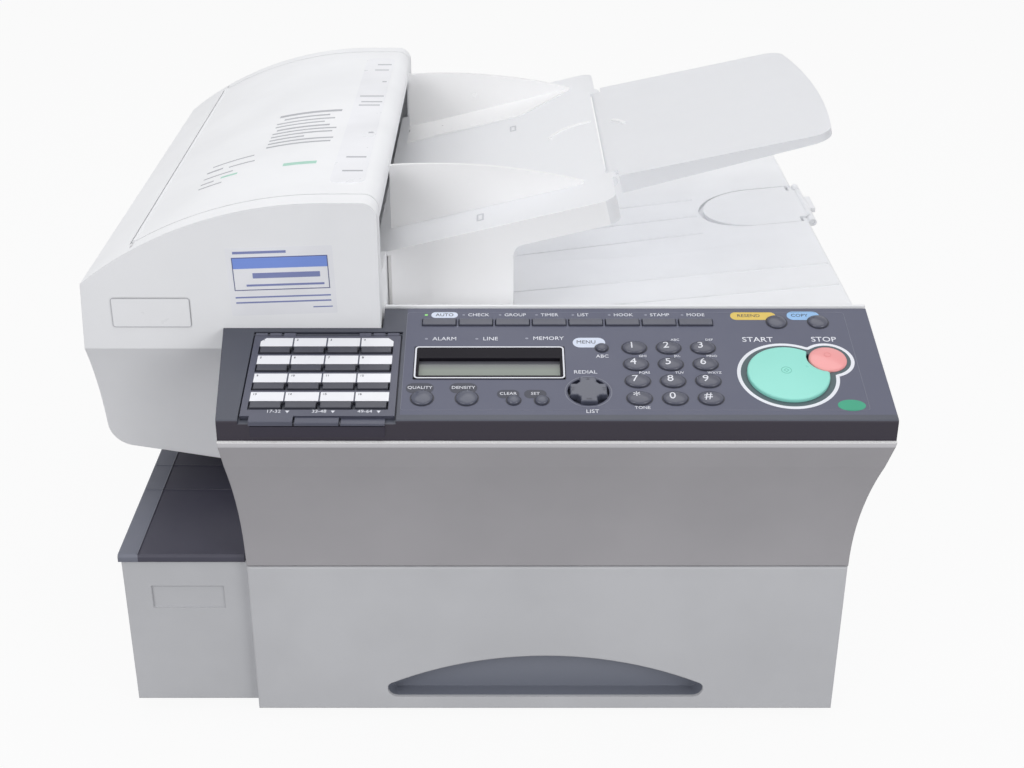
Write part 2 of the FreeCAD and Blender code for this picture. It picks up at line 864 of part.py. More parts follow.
def tower_outline(inset):
    left = TOWER_LEFT + inset
    right = -S.tower_right - inset
    return [(left + S.tower_batter, S.tower_floor_left + inset), (-HALF, S.tower_floor_right + inset),
            (-HALF, S.tower_foot + inset), (right, S.tower_foot + inset), (right, S.tower_top - inset),
            (CROWN_START, S.tower_top - inset),
            (left + S.tower_batter, crown_height(left + S.tower_batter, inset), S.tower_crown - inset),
            (left, S.tower_crease)]


def tower_solid(label, inset):
    depth = (S.tower_front + inset, REAR - inset)
    across = prism(label + "_across", "XZ", tower_outline(inset), depth,
                   [((0,), S.tower_round - inset), ((4,), S.tower_edge - inset)])
    room = S.overrun
    low = S.tower_floor_right - S.wall
    front = S.tower_front + inset
    along = prism(label + "_along", "YZ",
                  [(REAR + room, low), (REAR + room, S.tower_top + room), (front, S.tower_top + room),
                   (front, S.tower_crease), (front + S.tower_cove, low, -S.tower_cove_radius)],
                  (TOWER_LEFT - room, room - S.tower_right))
    return common(label, across, along)


def tray_under(across):
    """Height of the document tray's sloped underside, which rests on the tower's right wall."""
    return S.tray_rest + (across + S.tower_right) * tangent(S.tray_tilt)


COVER_BEAD = (-S.cover_left, crown_height(-S.cover_left, BEAD_DROP))
TOWER_SKIN = cut("tower_skin", tower_solid("tower_outer", 0), tower_solid("tower_inner", S.wall))


def scanner_housing():
    way = S.seam + S.bead_radius
    mouth = box("tower_mouth", (-S.cover_left - way, HIGH), (S.cover_front, COVER_REAR),
                (S.tower_shoulder, HIGH))
    gate_left = -S.tower_right - 2 * S.wall
    gate = prism("tower_gate", "XZ",
                 [(gate_left, tray_under(gate_left)), (0, tray_under(0)), (0, HIGH), (gate_left, HIGH)],
                 (S.tray_front - S.seam, TRAY_REAR + S.seam))
    flare_way = box("tower_flare_way", (-LEFT_OUTER - S.seam, -HALF), (LOW, S.shell_depth + S.seam),
                    (LOW, SHELL_TOP + S.seam))
    shell = cut("tower_shell", TOWER_SKIN, mouth, gate, flare_way)
    lugs = []
    for start, end in ((S.cover_front - S.lug_width, S.cover_front),
                       (COVER_REAR, COVER_REAR + S.lug_width)):
        block = box("tower_lug_block", (-S.cover_left - S.lug_width, -S.cover_left + S.lug_width),
                    (start, end),
                    (COVER_BEAD[1] - S.lug_width, HIGH))
        lugs.append(common("tower_lug", block, tower_solid("tower_lug_limit", S.seam)))
    bead_bore = rod("tower_bead_bore", S.pin_radius + S.fit, *COVER_BEAD,
                    (S.cover_front - S.lug_width - S.seam, COVER_REAR + S.lug_width + S.seam))
    feed_bore = rod("tower_feed_bore", S.shaft_radius + S.fit, -S.feed_x, S.feed_z,
                    (S.tower_front + S.wall / 2, REAR - S.wall / 2))
    return cut("tower", fuse("tower_with_lugs", shell, *lugs), bead_bore, feed_bore)


def adf_cover():
    front, rear = S.cover_front + S.seam, COVER_REAR - S.seam
    room = box("feed_cover_room", (-S.cover_left, HIGH), (front, rear), (S.tower_shoulder, HIGH))
    below_lip = box("feed_cover_below", (-S.tower_right - 2 * S.wall, HIGH), (LOW, HIGH),
                    (LOW, S.tower_top - S.cover_lip))
    sheet_part = cut("feed_cover_sheet", common("feed_cover_skin", TOWER_SKIN, room), below_lip)
    bead = rod("feed_cover_bead", S.bead_radius, *COVER_BEAD, (front, rear))
    pin = rod("feed_cover_pin", S.pin_radius, *COVER_BEAD, (S.cover_front - S.lug_width,
                                                            COVER_REAR + S.lug_width))
    return fuse("feed_cover", sheet_part, bead, pin)


def adf_feed_roller():
    roll = rod("feed_roll", S.feed_radius, -S.feed_x, S.feed_z, (S.feed_front, REAR - S.feed_inset_rear))
    shaft = rod("feed_shaft", S.shaft_radius, -S.feed_x, S.feed_z,
                (S.tower_front + S.wall / 2 + S.slip, REAR - S.wall / 2 - S.slip))
    return fuse("feed", roll, shaft)


def image_sensor():
    ends = (S.tower_front + S.wall + S.plate_gap, INNER_REAR - S.plate_gap)
    bar = box("sensor_bar", (-S.sensor_x, -S.sensor_x + S.sensor_width), ends,
              (S.sensor_z, S.sensor_z + S.sensor_height))
    groove = box("sensor_groove", (-S.sensor_x + S.wall, -S.sensor_x + S.sensor_width - S.wall),
                 (S.cover_front, COVER_REAR), (S.sensor_z + S.sensor_height - S.seam, HIGH))
    return cut("sensor", bar, groove)


node("scanner_housing", scanner_housing())
node("adf_cover", adf_cover())
node("adf_feed_roller", adf_feed_roller())
node("image_sensor", image_sensor())


# Document tray: a frosted sheet that rises to the right. A tall wall under its front edge stands on the exit
# block's apron, and the rest of its edge is a shallow skirt with knuckles for the extension.
def tray_top(across):
    return tray_under(across) + S.tray_sheet / cosine(S.tray_tilt)


JOINT_Z = tray_top(S.tray_joint) - S.barrel_radius / cosine(S.tray_tilt)
EXTENSION = (S.tray_front + S.extension_inset_front, TRAY_REAR - S.extension_inset_rear)
KNUCKLES = (EXTENSION[0] + S.knuckle, EXTENSION[1] - S.knuckle)


def on_slope(thing, tilt, back, out):
    """Places an object in a slope through the extension's hinge, with its own x running up the slope."""
    return place(thing, X(S.tray_joint - out * sine(tilt)), Y(back), Z(JOINT_Z + out * cosine(tilt)), BACK,
                 -tilt)


def slope_plate(label, tilt, outline, out, rounds=()):
    """A plate in a slope, from its plan and its two distances out from the hinge's axis."""
    plate = padded(label, "XY", outline, out[1] - out[0], rounds)
    return on_slope(plate, tilt, 0, out[0])


def document_tray():
    tilt = S.tray_tilt
    far = -(S.tray_joint + S.tray_left) / cosine(tilt)
    open_end = -(S.tray_joint + S.block_right + S.skirt_lap) / cosine(tilt)
    top = S.barrel_radius
    under = top - S.tray_sheet
    deep = under - S.skirt_depth
    block = slope_plate("tray_block", tilt,
                        [(far, S.tray_front), (0, S.tray_front), (0, TRAY_REAR), (far, TRAY_REAR)],
                        (deep, top), [((1, 2), S.tray_round)])
    beside = slope_plate("tray_beside", tilt,
                         [(far - S.seam, LOW), (open_end, LOW), (open_end, HIGH), (far - S.seam, HIGH)],
                         (deep - S.seam, under))
    front, rear = S.tray_front + S.skin, TRAY_REAR - S.skin
    hollow = slope_plate("tray_hollow", tilt,
                         [(open_end - S.seam, front), (-S.skin, front), (-S.skin, rear),
                          (open_end - S.seam, rear)],
                         (deep - S.seam, under), [((1, 2), S.tray_round - S.skin)])
    hinge_way = box("tray_hinge_way", (S.tray_joint - S.hinge_gap, HIGH), KNUCKLES, (LOW, HIGH))
    fold_way = box("tray_fold_way", (S.tray_joint - S.skin - S.seam, HIGH), EXTENSION, (LOW, JOINT_Z))
    left, right = -S.tower_right + S.wall, -S.block_right
    low = S.output_left + S.slip
    middle = S.tray_sheet / 2
    cove_end = right + S.skirt_cove
    drop = S.skirt_depth / cosine(tilt)
    wall = prism("tray_wall", "XZ",
                 [(left, low), (right, low), (right, tray_under(right) - drop - S.skirt_cove),
                  (cove_end, tray_under(cove_end) - drop, -S.skirt_cove),
                  (cove_end, tray_under(cove_end) + middle), (left, tray_under(left) + middle)],
                 (S.tray_front, front))
    knuckles = []
    for span in ((EXTENSION[0], KNUCKLES[0]), (KNUCKLES[1], EXTENSION[1])):
        knuckles.append(rod("tray_knuckle", S.barrel_radius, S.tray_joint, JOINT_Z, span))
    shell = cut("tray_shell", block, beside, hollow, hinge_way, fold_way)
    bore = rod("tray_bore", S.pin_radius + S.fit, S.tray_joint, JOINT_Z,
               (EXTENSION[0] + S.slip, EXTENSION[1] - S.slip))
    return cut("tray", fuse("tray_whole", shell, wall, *knuckles), bore)


def tray_extension():
    tilt = S.extension_tilt
    near = S.barrel_radius + S.seam
    far = S.extension_length
    front, rear = EXTENSION
    start, end = KNUCKLES[0] + S.slip, KNUCKLES[1] - S.slip
    top = S.barrel_radius
    under = top - S.tray_sheet
    deep = top - S.extension_skirt
    block = slope_plate("extension_block", tilt,
                        [(near, front), (far, front), (far, rear, S.extension_bow), (near, rear)],
                        (deep, top), [((1, 2), S.extension_round)])
    inset = S.skin
    hollow = slope_plate("extension_hollow", tilt,
                         [(near - S.seam, front + inset), (far - inset, front + inset),
                          (far - inset, rear - inset, S.extension_bow), (near - S.seam, rear - inset)],
                         (deep - S.seam, under), [((1, 2), S.extension_round - inset)])
    thin = padded("extension_taper", "XZ",
                  [(near, LOW), (far + S.overrun, LOW), (far + S.overrun, top - S.extension_thin),
                   (far, top - S.extension_thin), (near, deep)], HIGH - LOW)
    shell = cut("extension_shell", block, hollow, on_slope(thin, tilt, LOW, 0))
    tongue = slope_plate("extension_tongue", tilt,
                         [(0, start), (near + S.seam, start), (near + S.seam, end), (0, end)], (under, top))
    barrel = rod("extension_barrel", S.barrel_radius, S.tray_joint, JOINT_Z, (start, end))
    pin = rod("extension_pin", S.pin_radius, S.tray_joint, JOINT_Z, (front + S.seam, rear - S.seam))
    return fuse("extension", shell, tongue, barrel, pin)


def document_guide(label, wall_start, foot_start, foot_edge):
    """One guide: a wedge-shaped wall with an arched top, standing on a thin foot that tapers to the right."""
    left, right = -S.guide_left, S.guide_right
    lift = S.slip
    wall_end = wall_start + S.skin
    wall = prism(label + "_wall", "XZ",
                 [(left, tray_top(left) + lift), (right, tray_top(right) + lift),
                  (right, tray_top(right) + S.guide_tail), (left, tray_top(left) + S.guide_height,
                                                            S.guide_arch)],
                 (wall_start, wall_end))
    foot = prism(label + "_foot", "XZ",
                 [(left, tray_top(left) + lift), (right, tray_top(right) + lift),
                  (right, tray_top(right) + lift + S.skin / 2), (left, tray_top(left) + lift + S.skin / 2)],
                 (foot_start, foot_start + S.guide_foot))
    corner = [(right - S.guide_taper, foot_edge), (right + S.seam, foot_edge), (right + S.seam, wall_start)]
    taper = prism(label + "_taper", "XY", corner, (LOW, HIGH))
    return fuse(label, wall, cut(label + "_sole", foot, taper))


GUIDE_FRONT = S.tray_front + S.guide_inset_front
GUIDE_REAR = TRAY_REAR - S.guide_inset_rear

node("document_tray", document_tray())
node("tray_extension", tray_extension())
node("document_guide_front", document_guide("guide_front", GUIDE_FRONT, GUIDE_FRONT,
                                            GUIDE_FRONT + S.guide_foot))
node("document_guide_rear", document_guide("guide_rear", GUIDE_REAR - S.skin, GUIDE_REAR - S.guide_foot,
                                           GUIDE_REAR - S.guide_foot))


# Exit block: the raised cover beside the tower, with the paper slot in its right face and a low apron in
# front
def exit_cover():
    left, right = -S.tower_right + S.slip, -S.block_right
    outline = [(left, S.tower_foot), (right, S.tower_foot), (right, S.block_top), (left, S.block_top)]
    outer = prism("block_outer", "XZ", outline, (S.block_front, REAR), [((2,), S.block_round)])
    soft = rounded("block_soft", outer, S.skin,
                   lambda edge: within(edge, y=(LOW, S.block_front), z=(S.block_top - S.block_round, HIGH)))
    apron = box("block_apron", (left, right), (S.apron_front, S.block_front + S.skin),
                (S.tower_foot, S.output_left))
    inner = box("block_inner", (left + S.skin, right - S.skin), (S.block_front + S.skin, INNER_REAR),
                (LOW, S.block_top - S.skin))
    slot = box("block_slot", (right - S.block_round, HIGH), (S.slot_front, REAR - S.slot_inset_rear),
               (S.slot_low, S.slot_low + S.slot_height))
    return cut("block", fuse("block_whole", soft, apron), inner, slot)


# Output tray: the sloped top of the body, with a rim behind the panel, low ribs, a scoop that runs out to the
# right and the stopper's seat
def above_output(label, span, across, drop):
    """All the space over the output surface, or over a line that lies below it, between two places across."""
    left, right = across
    return prism(label, "XZ", [(left, output_top(left) - drop), (right, output_top(right) - drop),
                               (right, S.tower_top), (left, S.tower_top)], span)


def output_rib(start, left, right, left_drop, right_drop):
    """A low rib across the output tray, whose root lies below the surface by a distance at each end."""
    low, high = output_top(left) - left_drop, output_top(right) - right_drop
    return prism("output_rib", "XZ", [(left, low - S.rib_rise), (right, high - S.rib_rise),
                                      (right, high + S.rib_rise), (left, low + S.rib_rise)],
                 (start, start + S.rib_width))


RIM_FRONT = S.shell_depth - S.slip
STOPPER_AXIS = (OUTER + S.stopper_out, S.output_right - S.stopper_thickness / 2)
STOPPER_SPAN = (S.stopper_y - S.stopper_half, S.stopper_y + S.stopper_half)
STOPPER_LUG = S.stopper_half / 4


def top_cover():
    left = -S.block_right + S.slip
    rim_left = -S.tower_right + S.seam
    thick = S.output_thickness
    plate = prism("output_plate", "XZ",
                  [(left, output_top(left) - thick), (OUTER, output_top(OUTER) - thick),
                   (OUTER, output_top(OUTER)),
                   (left, output_top(left))], (RIM_FRONT, REAR), [((2,), S.skin)])
    rim = prism("output_rim", "XZ",
                [(rim_left, S.output_left - thick / 2), (left, S.output_left - thick / 2),
                 (OUTER, S.output_right - thick / 2), (OUTER, S.rim_height), (rim_left, S.rim_height)],
                (RIM_FRONT, RIM_FRONT + S.skin))
    scoop_left = left + S.wall
    round_way = post("output_scoop_round", S.scoop_radius, S.scoop_x, S.scoop_y, (0, S.tower_top))
    scoop_room = prism("output_scoop_room", "XZ",
                       [(scoop_left, output_top(scoop_left) - S.scoop_depth),
                        (S.scoop_end, output_top(S.scoop_end)),
                        (S.scoop_end, S.tower_top), (scoop_left, S.tower_top)],
                       (S.tower_front, REAR - S.scoop_margin))
    scoop = common("output_scoop", round_way, scoop_room)
    seat_start = S.stopper_tip + S.stopper_half
    seat_depth = S.stopper_thickness + S.slip
    seat = above_output("output_seat", (STOPPER_SPAN[0] - S.seam, STOPPER_SPAN[1] + S.seam),
                        (seat_start, OUTER + S.wall), seat_depth)
    seat_end = common("output_seat_end",
                      post("output_seat_round", S.stopper_half + S.seam, seat_start, S.stopper_y,
                           (0, S.tower_top)),
                      above_output("output_seat_room", (S.tower_front, REAR), (0, OUTER), seat_depth))
    shaped = cut("output_shaped", fuse("output_solid", plate, rim), scoop, seat, seat_end)
    ribs = []
    for step in range(2):
        ribs.append(output_rib(S.rib_start + step * S.rib_pitch, left, OUTER - S.wall, 0, 0))
    rib_end = S.stopper_tip - S.wall
    end_drop = S.scoop_depth * (S.scoop_end - rib_end) / (S.scoop_end - scoop_left)
    for step in range(3):
        ribs.append(output_rib(S.scoop_rib_start + step * S.scoop_rib_pitch, scoop_left, rib_end,
                               S.scoop_depth,
                               end_drop))
    whole = fuse("output_whole", shaped, *ribs)
    lugs = []
    for start in (STOPPER_SPAN[0] - S.seam, STOPPER_SPAN[1] + S.seam - STOPPER_LUG):
        span = (start, start + STOPPER_LUG)
        lugs.append(rod("output_lug", S.stopper_barrel, *STOPPER_AXIS, span))
        lugs.append(box("output_lug_foot", (OUTER - S.wall, STOPPER_AXIS[0]), span,
                        (STOPPER_AXIS[1] - S.stopper_barrel, STOPPER_AXIS[1])))
    bore = rod("output_bore", S.pin_radius + S.fit, *STOPPER_AXIS,
               (STOPPER_SPAN[0] - S.wall, STOPPER_SPAN[1] + S.wall))
    barrel_way = rod("output_barrel_way", S.stopper_barrel + S.slip, *STOPPER_AXIS,
                     (STOPPER_SPAN[0] - S.seam + STOPPER_LUG, STOPPER_SPAN[1] + S.seam - STOPPER_LUG))
    return cut("output", fuse("output_with_lugs", whole, *lugs), bore, barrel_way)


def output_stopper():
    half = S.stopper_half
    inner = half - STOPPER_LUG
    reach = STOPPER_AXIS[0] - S.stopper_tip
    shoulder = S.stopper_barrel * 3
    straight = reach - half
    outline = [(0, -inner), (0, inner), (-shoulder, inner), (-shoulder, half), (-straight, half),
               (-straight, -half, half + S.fit), (-shoulder, -half), (-shoulder, -inner)]
    leaf = padded("stopper_leaf", "XY", outline, S.stopper_thickness)
    angle = Size(f"atan({OUTPUT_SLOPE.text})")
    lower = S.stopper_thickness / 2
    place(leaf, X(STOPPER_AXIS[0]), Y(S.stopper_y), Z(STOPPER_AXIS[1] - lower), BACK, -angle)
    span = (S.stopper_y - inner + S.slip, S.stopper_y + inner - S.slip)
    barrel = rod("stopper_barrel_rod", S.stopper_barrel, *STOPPER_AXIS, span)
    pin = rod("stopper_pin", S.pin_radius, *STOPPER_AXIS, (STOPPER_SPAN[0], STOPPER_SPAN[1]))
    lip = box("stopper_lip_block", (STOPPER_AXIS[0], STOPPER_AXIS[0] + S.stopper_lip),
              (S.stopper_y - half / 3, S.stopper_y + half / 3),
              (STOPPER_AXIS[1] - lower, STOPPER_AXIS[1] + lower))
    return fuse("stopper", leaf, barrel, pin, lip)


node("exit_cover", exit_cover())
node("top_cover", top_cover())
node("output_stopper", output_stopper())


# Print engine: two side plates carry the shafts, with the cartridge and the laser unit between them
PLATE_INNER = (S.plate_front + S.plate_thickness, PLATE_REAR)
ROLLERS = {
    "drum": (0.0, S.drum_z, S.drum_radius),
    "heat_roller": (-S.fuser_x, S.fuser_low + 2 * S.fuser_radius + S.slip, S.fuser_radius),
    "pressure_roller": (-S.fuser_x, S.fuser_low, S.fuser_radius),
    "pickup_roller": (S.pickup_x, S.pickup_z, S.pickup_radius),
}
SHAFT_ENDS = (S.plate_front - S.shaft_reach, PLATE_REAR + S.plate_thickness + S.shaft_reach)


def engine_side_plates():
    plates = []
    for start in (S.plate_front, PLATE_REAR):
        plate = box("engine_plate", (-S.plate_left, S.plate_right), (start, start + S.plate_thickness),
                    (ENGINE_FLOOR, S.plate_top))
        bores = [rod("engine_bore", S.shaft_radius + S.fit, x, z, (start - S.wall, start + 2 * S.wall))
                 for x, z, radius in ROLLERS.values()]
        plates.append(cut("engine_plate_bored", plate, *bores))
    return group("engine_plates", *plates)


def roller(label, x, z, radius, span):
    roll = rod(label + "_roll", radius, x, z, span)
    return fuse(label + "_whole", roll, rod(label + "_shaft", S.shaft_radius, x, z, SHAFT_ENDS))


def toner_cartridge():
    span = (PLATE_INNER[0] + S.plate_gap, PLATE_INNER[1] - S.plate_gap)
    return prism("toner", "XZ",
                 [(S.toner_left, S.toner_low), (S.toner_right, S.toner_low), (S.toner_right, S.toner_high),
                  (S.toner_left, S.toner_high)], span, [((1, 2), S.toner_round)])


def laser_unit():
    span = (PLATE_INNER[0] + S.plate_gap, PLATE_INNER[1] - S.plate_gap)
    block = box("laser_block", (-S.laser_left, -S.laser_right), span, (S.laser_low, S.laser_high))
    window = box("laser_window", (-S.laser_right - 3 * S.wall, -S.laser_right - S.wall),
                 (S.plate_front + 3 * S.roller_margin, PLATE_REAR - 3 * S.roller_margin),
                 (LOW, S.laser_low + S.wall))
    return cut("laser", block, window)


def drive_motor():
    start = PLATE_REAR + S.plate_thickness
    can = rod("motor_can", S.motor_radius, S.motor_x, S.motor_z, (start, start + S.motor_length))
    boss = rod("motor_boss", S.motor_radius / 2, S.motor_x, S.motor_z,
               (start + S.motor_length - S.seam, start + S.motor_length + S.wall))
    return fuse("motor", can, boss)


def main_board():
    left, right = -S.mainboard_left, -S.mainboard_left + S.mainboard_width
    face = INNER_REAR - S.mainboard_off
    pieces = [box("board_sheet", (left, right), (face - S.board_thickness, face),
                  (S.mainboard_low, S.mainboard_high))]
    chip = (S.mainboard_high - S.mainboard_low) / 4
    for step in range(3):
        start = left + chip / 2 + step * 2 * chip
        pieces.append(box("board_chip", (start, start + chip),
                          (face - S.board_thickness - S.skin, face - S.board_thickness / 2),
                          (S.mainboard_low + chip, S.mainboard_low + 2 * chip)))
    for across in (left + S.post_radius * 2, right - S.post_radius * 2):
        for up in (S.mainboard_low + S.post_radius * 2, S.mainboard_high - S.post_radius * 2):
            pieces.append(rod("board_post", S.post_radius, across, up,
                              (face - S.board_thickness / 2, INNER_REAR)))
    return fuse("mainboard", *pieces)


node("engine_side_plates", engine_side_plates())
for name, (x, z, radius) in ROLLERS.items():
    span = (PLATE_INNER[0] + S.roller_margin, PLATE_INNER[1] - S.roller_margin)
    if name == "pickup_roller":
        span = (S.pickup_front, S.pickup_rear)
    node(name, roller(name, x, z, radius, span))
node("toner_cartridge", toner_cartridge())
node("laser_unit", laser_unit())
node("drive_motor", drive_motor())


# Control panel: measured across from the middle, up the slope from a line just behind its front edge, and out
# from its face
PANEL_FACE = S.flare - S.panel_setback
PANEL_START = PANEL_FACE - S.panel_nose * cosine(S.panel_tilt)
NOSE_TOP = EDGE_TOP - S.panel_nose * sine(S.panel_tilt)
PANEL_REAR = S.panel_length * cosine(S.panel_tilt) - PANEL_START
PANEL_UNDER = S.skin / cosine(S.panel_tilt)
NOTCH = -S.tower_right + S.seam
PAGE_FRONT = -(S.panel_nose + S.slip + S.tab_thickness / 2)
HINGE_OUT = S.page_ring + S.page_lift - S.page_sink
WELL_REAR = S.page_rear + S.page_ring + S.page_gap
TOUCH_BASE = S.page_sink + S.page_floor + S.slip + S.flange_height


def on_panel(thing, across, up, out):
    cos, sin = cosine(S.panel_tilt), sine(S.panel_tilt)
    return place(thing, X(across), Y(up * cos - out * sin - PANEL_START), Z(EDGE_TOP + up * sin + out * cos),
                 ACROSS, S.panel_tilt)


def panel_box(label, across, up, out):
    block = doc.addObject("Part::Box", label)
    bind(block, Length=across[1] - across[0], Width=up[1] - up[0], Height=out[1] - out[0])
    return on_panel(block, across[0], up[0], out[0])


def panel_rod(label, radius, across, up, out):
    bar = doc.addObject("Part::Cylinder", label)
    bind(bar, Radius=radius, Height=out[1] - out[0])
    return on_panel(bar, across, up, out[0])


def panel_oval(label, half_across, half_up, across, up, out):
    ring = doc.addObject("Part::Ellipse", label + "_ring")
    bind(ring, MajorRadius=half_across, MinorRadius=half_up)
    on_panel(ring, across, up, out[0])
    bar = doc.addObject("Part::Extrusion", label)
    bar.Base = ring
    bar.DirMode = "Normal"
    bar.Solid = True
    bind(bar, LengthFwd=out[1] - out[0])
    return bar


def panel_bar(label, radius, across, up, out):
    """A round bar that lies across the panel."""
    bar = doc.addObject("Part::Cylinder", label)
    bind(bar, Radius=radius, Height=across[1] - across[0])
    cos, sin = cosine(S.panel_tilt), sine(S.panel_tilt)
    return place(bar, X(across[0]), Y(up * cos - out * sin - PANEL_START), Z(EDGE_TOP + up * sin + out * cos),
                 BACK, 90)


def soft_top(label, key, radius):
    """Rounds the edges round the outer face of a key."""
    doc.recompute()
    normal = FreeCAD.Rotation(ACROSS, amount_of(S.panel_tilt)).multVec(FreeCAD.Vector(0, 0, 1))
    heights = [max(point.dot(normal) for point in edge.discretize(5)) for edge in key.Shape.Edges]
    lows = [min(point.dot(normal) for point in edge.discretize(5)) for edge in key.Shape.Edges]
    top = max(heights)
    result = doc.addObject("Part::Fillet", label)
    result.Base = key
    size = amount_of(radius)
    result.Edges = [(i, size, size) for i, low in enumerate(lows, start=1) if top - low < NEAR]
    return result


KEY_FOOT = (-S.key_base, -S.key_base + S.flange_height)
THROUGH = (-S.key_base, S.tower_front)
ROUND_KEYS = ("start", "stop", "resend", "copy", "quality", "contrast", "clear", "enter", "menu")
KEYPAD = [(f"key_{name}", S.keypad_x + column * S.keypad_pitch_x, S.keypad_y - row * S.keypad_pitch_y)
          for row, names in enumerate((("1", "2", "3"), ("4", "5", "6"), ("7", "8", "9"),
                                       ("star", "0", "hash")))
          for column, name in enumerate(names)]
FUNCTION_KEYS = [(S.function_x + step * S.function_pitch, S.function_y) for step in range(8)]
TOUCH_ROWS = [S.touch_y + row * S.touch_pitch_y for row in range(4)]
TOUCH_KEYS = [(S.touch_x + column * S.touch_pitch_x, up) for up in TOUCH_ROWS for column in range(4)]


def key_spot(name):
    return getattr(S, name + "_x"), getattr(S, name + "_y"), getattr(S, name + "_radius")


def round_key(name):
    across, up, radius = key_spot(name)
    cap = panel_rod(name + "_cap", radius, across, up, (-S.key_base, S.key_rise))
    flange = panel_rod(name + "_flange", radius + S.key_flange, across, up, KEY_FOOT)
    key = fuse(name + "_body", cap, flange)
    if name == "start":
        beside, beside_up, beside_radius = key_spot("stop")
        bite = panel_rod("start_bite", beside_radius + S.key_flange + S.seam, beside, beside_up, THROUGH)
        key = cut("start_bitten", key, bite)
    return soft_top(name + "_soft", key, S.key_soft)


def keypad_key(name, across, up):
    cap = panel_oval(name + "_cap", S.keypad_half_x, S.keypad_half_y, across, up, (-S.key_base, S.key_rise))
    flange = panel_oval(name + "_flange", S.keypad_half_x + S.key_flange, S.keypad_half_y + S.key_flange,
                        across, up,
                        KEY_FOOT)
    return soft_top(name + "_soft", fuse(name + "_body", cap, flange), S.key_soft)


def navigation_pad():
    across, up, radius = key_spot("pad")
    arm = S.pad_arm
    out = (-S.key_base, S.key_rise)
    pieces = [panel_box("pad_level", (across - radius + S.seam, across + radius - S.seam),
                        (up - arm, up + arm), out),
              panel_box("pad_upright", (across - arm, across + arm),
                        (up - radius + S.seam, up + radius - S.seam), out),
              panel_rod("pad_middle", S.pad_hub, across, up, out),
              panel_rod("pad_flange", radius + S.key_flange, across, up, KEY_FOOT)]
    return soft_top("pad_soft", fuse("pad_body", *pieces), S.key_soft)


def key_comb(label, spots, width, depth, base, rise, soft):
    """A row or block of oblong keys moulded on one thin web."""
    caps = [panel_box(label + "_cap", (across, across + width), (up, up + depth), (-base, rise))
            for across, up in spots]
    first, last = spots[0], spots[-1]
    web = panel_box(label + "_web", (first[0] - S.key_flange, last[0] + width + S.key_flange),
                    (first[1] - S.key_flange, last[1] + depth + S.key_flange),
                    (-base, S.flange_height - base))
    return soft_top(label + "_soft", fuse(label + "_body", web, *caps), soft)


def key_holes():
    out = (-2 * S.key_base, S.tower_front)
    gap = S.key_gap
    holes = []
    for name in ROUND_KEYS + ("pad",):
        across, up, radius = key_spot(name)
        holes.append(panel_rod("panel_hole_" + name, radius + gap, across, up, out))
    for name, across, up in KEYPAD:
        holes.append(panel_oval("panel_hole_" + name, S.keypad_half_x + gap, S.keypad_half_y + gap, across,
                                up, out))
    oblong = [(spot, S.function_width, S.function_depth) for spot in FUNCTION_KEYS]
    oblong += [(spot, S.touch_width, S.touch_depth) for spot in TOUCH_KEYS]
    for (across, up), width, depth in oblong:
        holes.append(panel_box("panel_hole", (across - gap, across + width + gap),
                               (up - gap, up + depth + gap), out))
    holes.append(panel_box("panel_hole_window", (-S.window_left - gap, S.window_right + gap),
                           (S.window_front - gap, S.window_rear + gap), out))
    return holes


def panel_inside(label, across, rear):
    """The hollow under the panel's face, between two places across and back to a wall."""
    front = S.skin - PANEL_FACE
    low = SHELL_TOP - S.wall
    return prism(label, "YZ",
                 [(front, low), (rear, low),
                  (rear, EDGE_TOP + (rear + PANEL_START) * tangent(S.panel_tilt) - PANEL_UNDER),
                  (front, EDGE_TOP + (front + PANEL_START) * tangent(S.panel_tilt) - PANEL_UNDER)], across)


BOARD_TOP = S.board_thickness - S.board_drop
POST_SIDE = OUTER - S.post_inset
POST_LEFT = S.skin + S.post_radius + S.slip - LEFT_OUTER
BOARD_POSTS = [(POST_LEFT, S.post_inset), (POST_LEFT, S.post_left_rear),
               (-S.post_window_x, S.post_window_y),
               (POST_SIDE, S.post_inset), (POST_SIDE, S.post_rear), (S.post_middle_x, S.post_rear)]


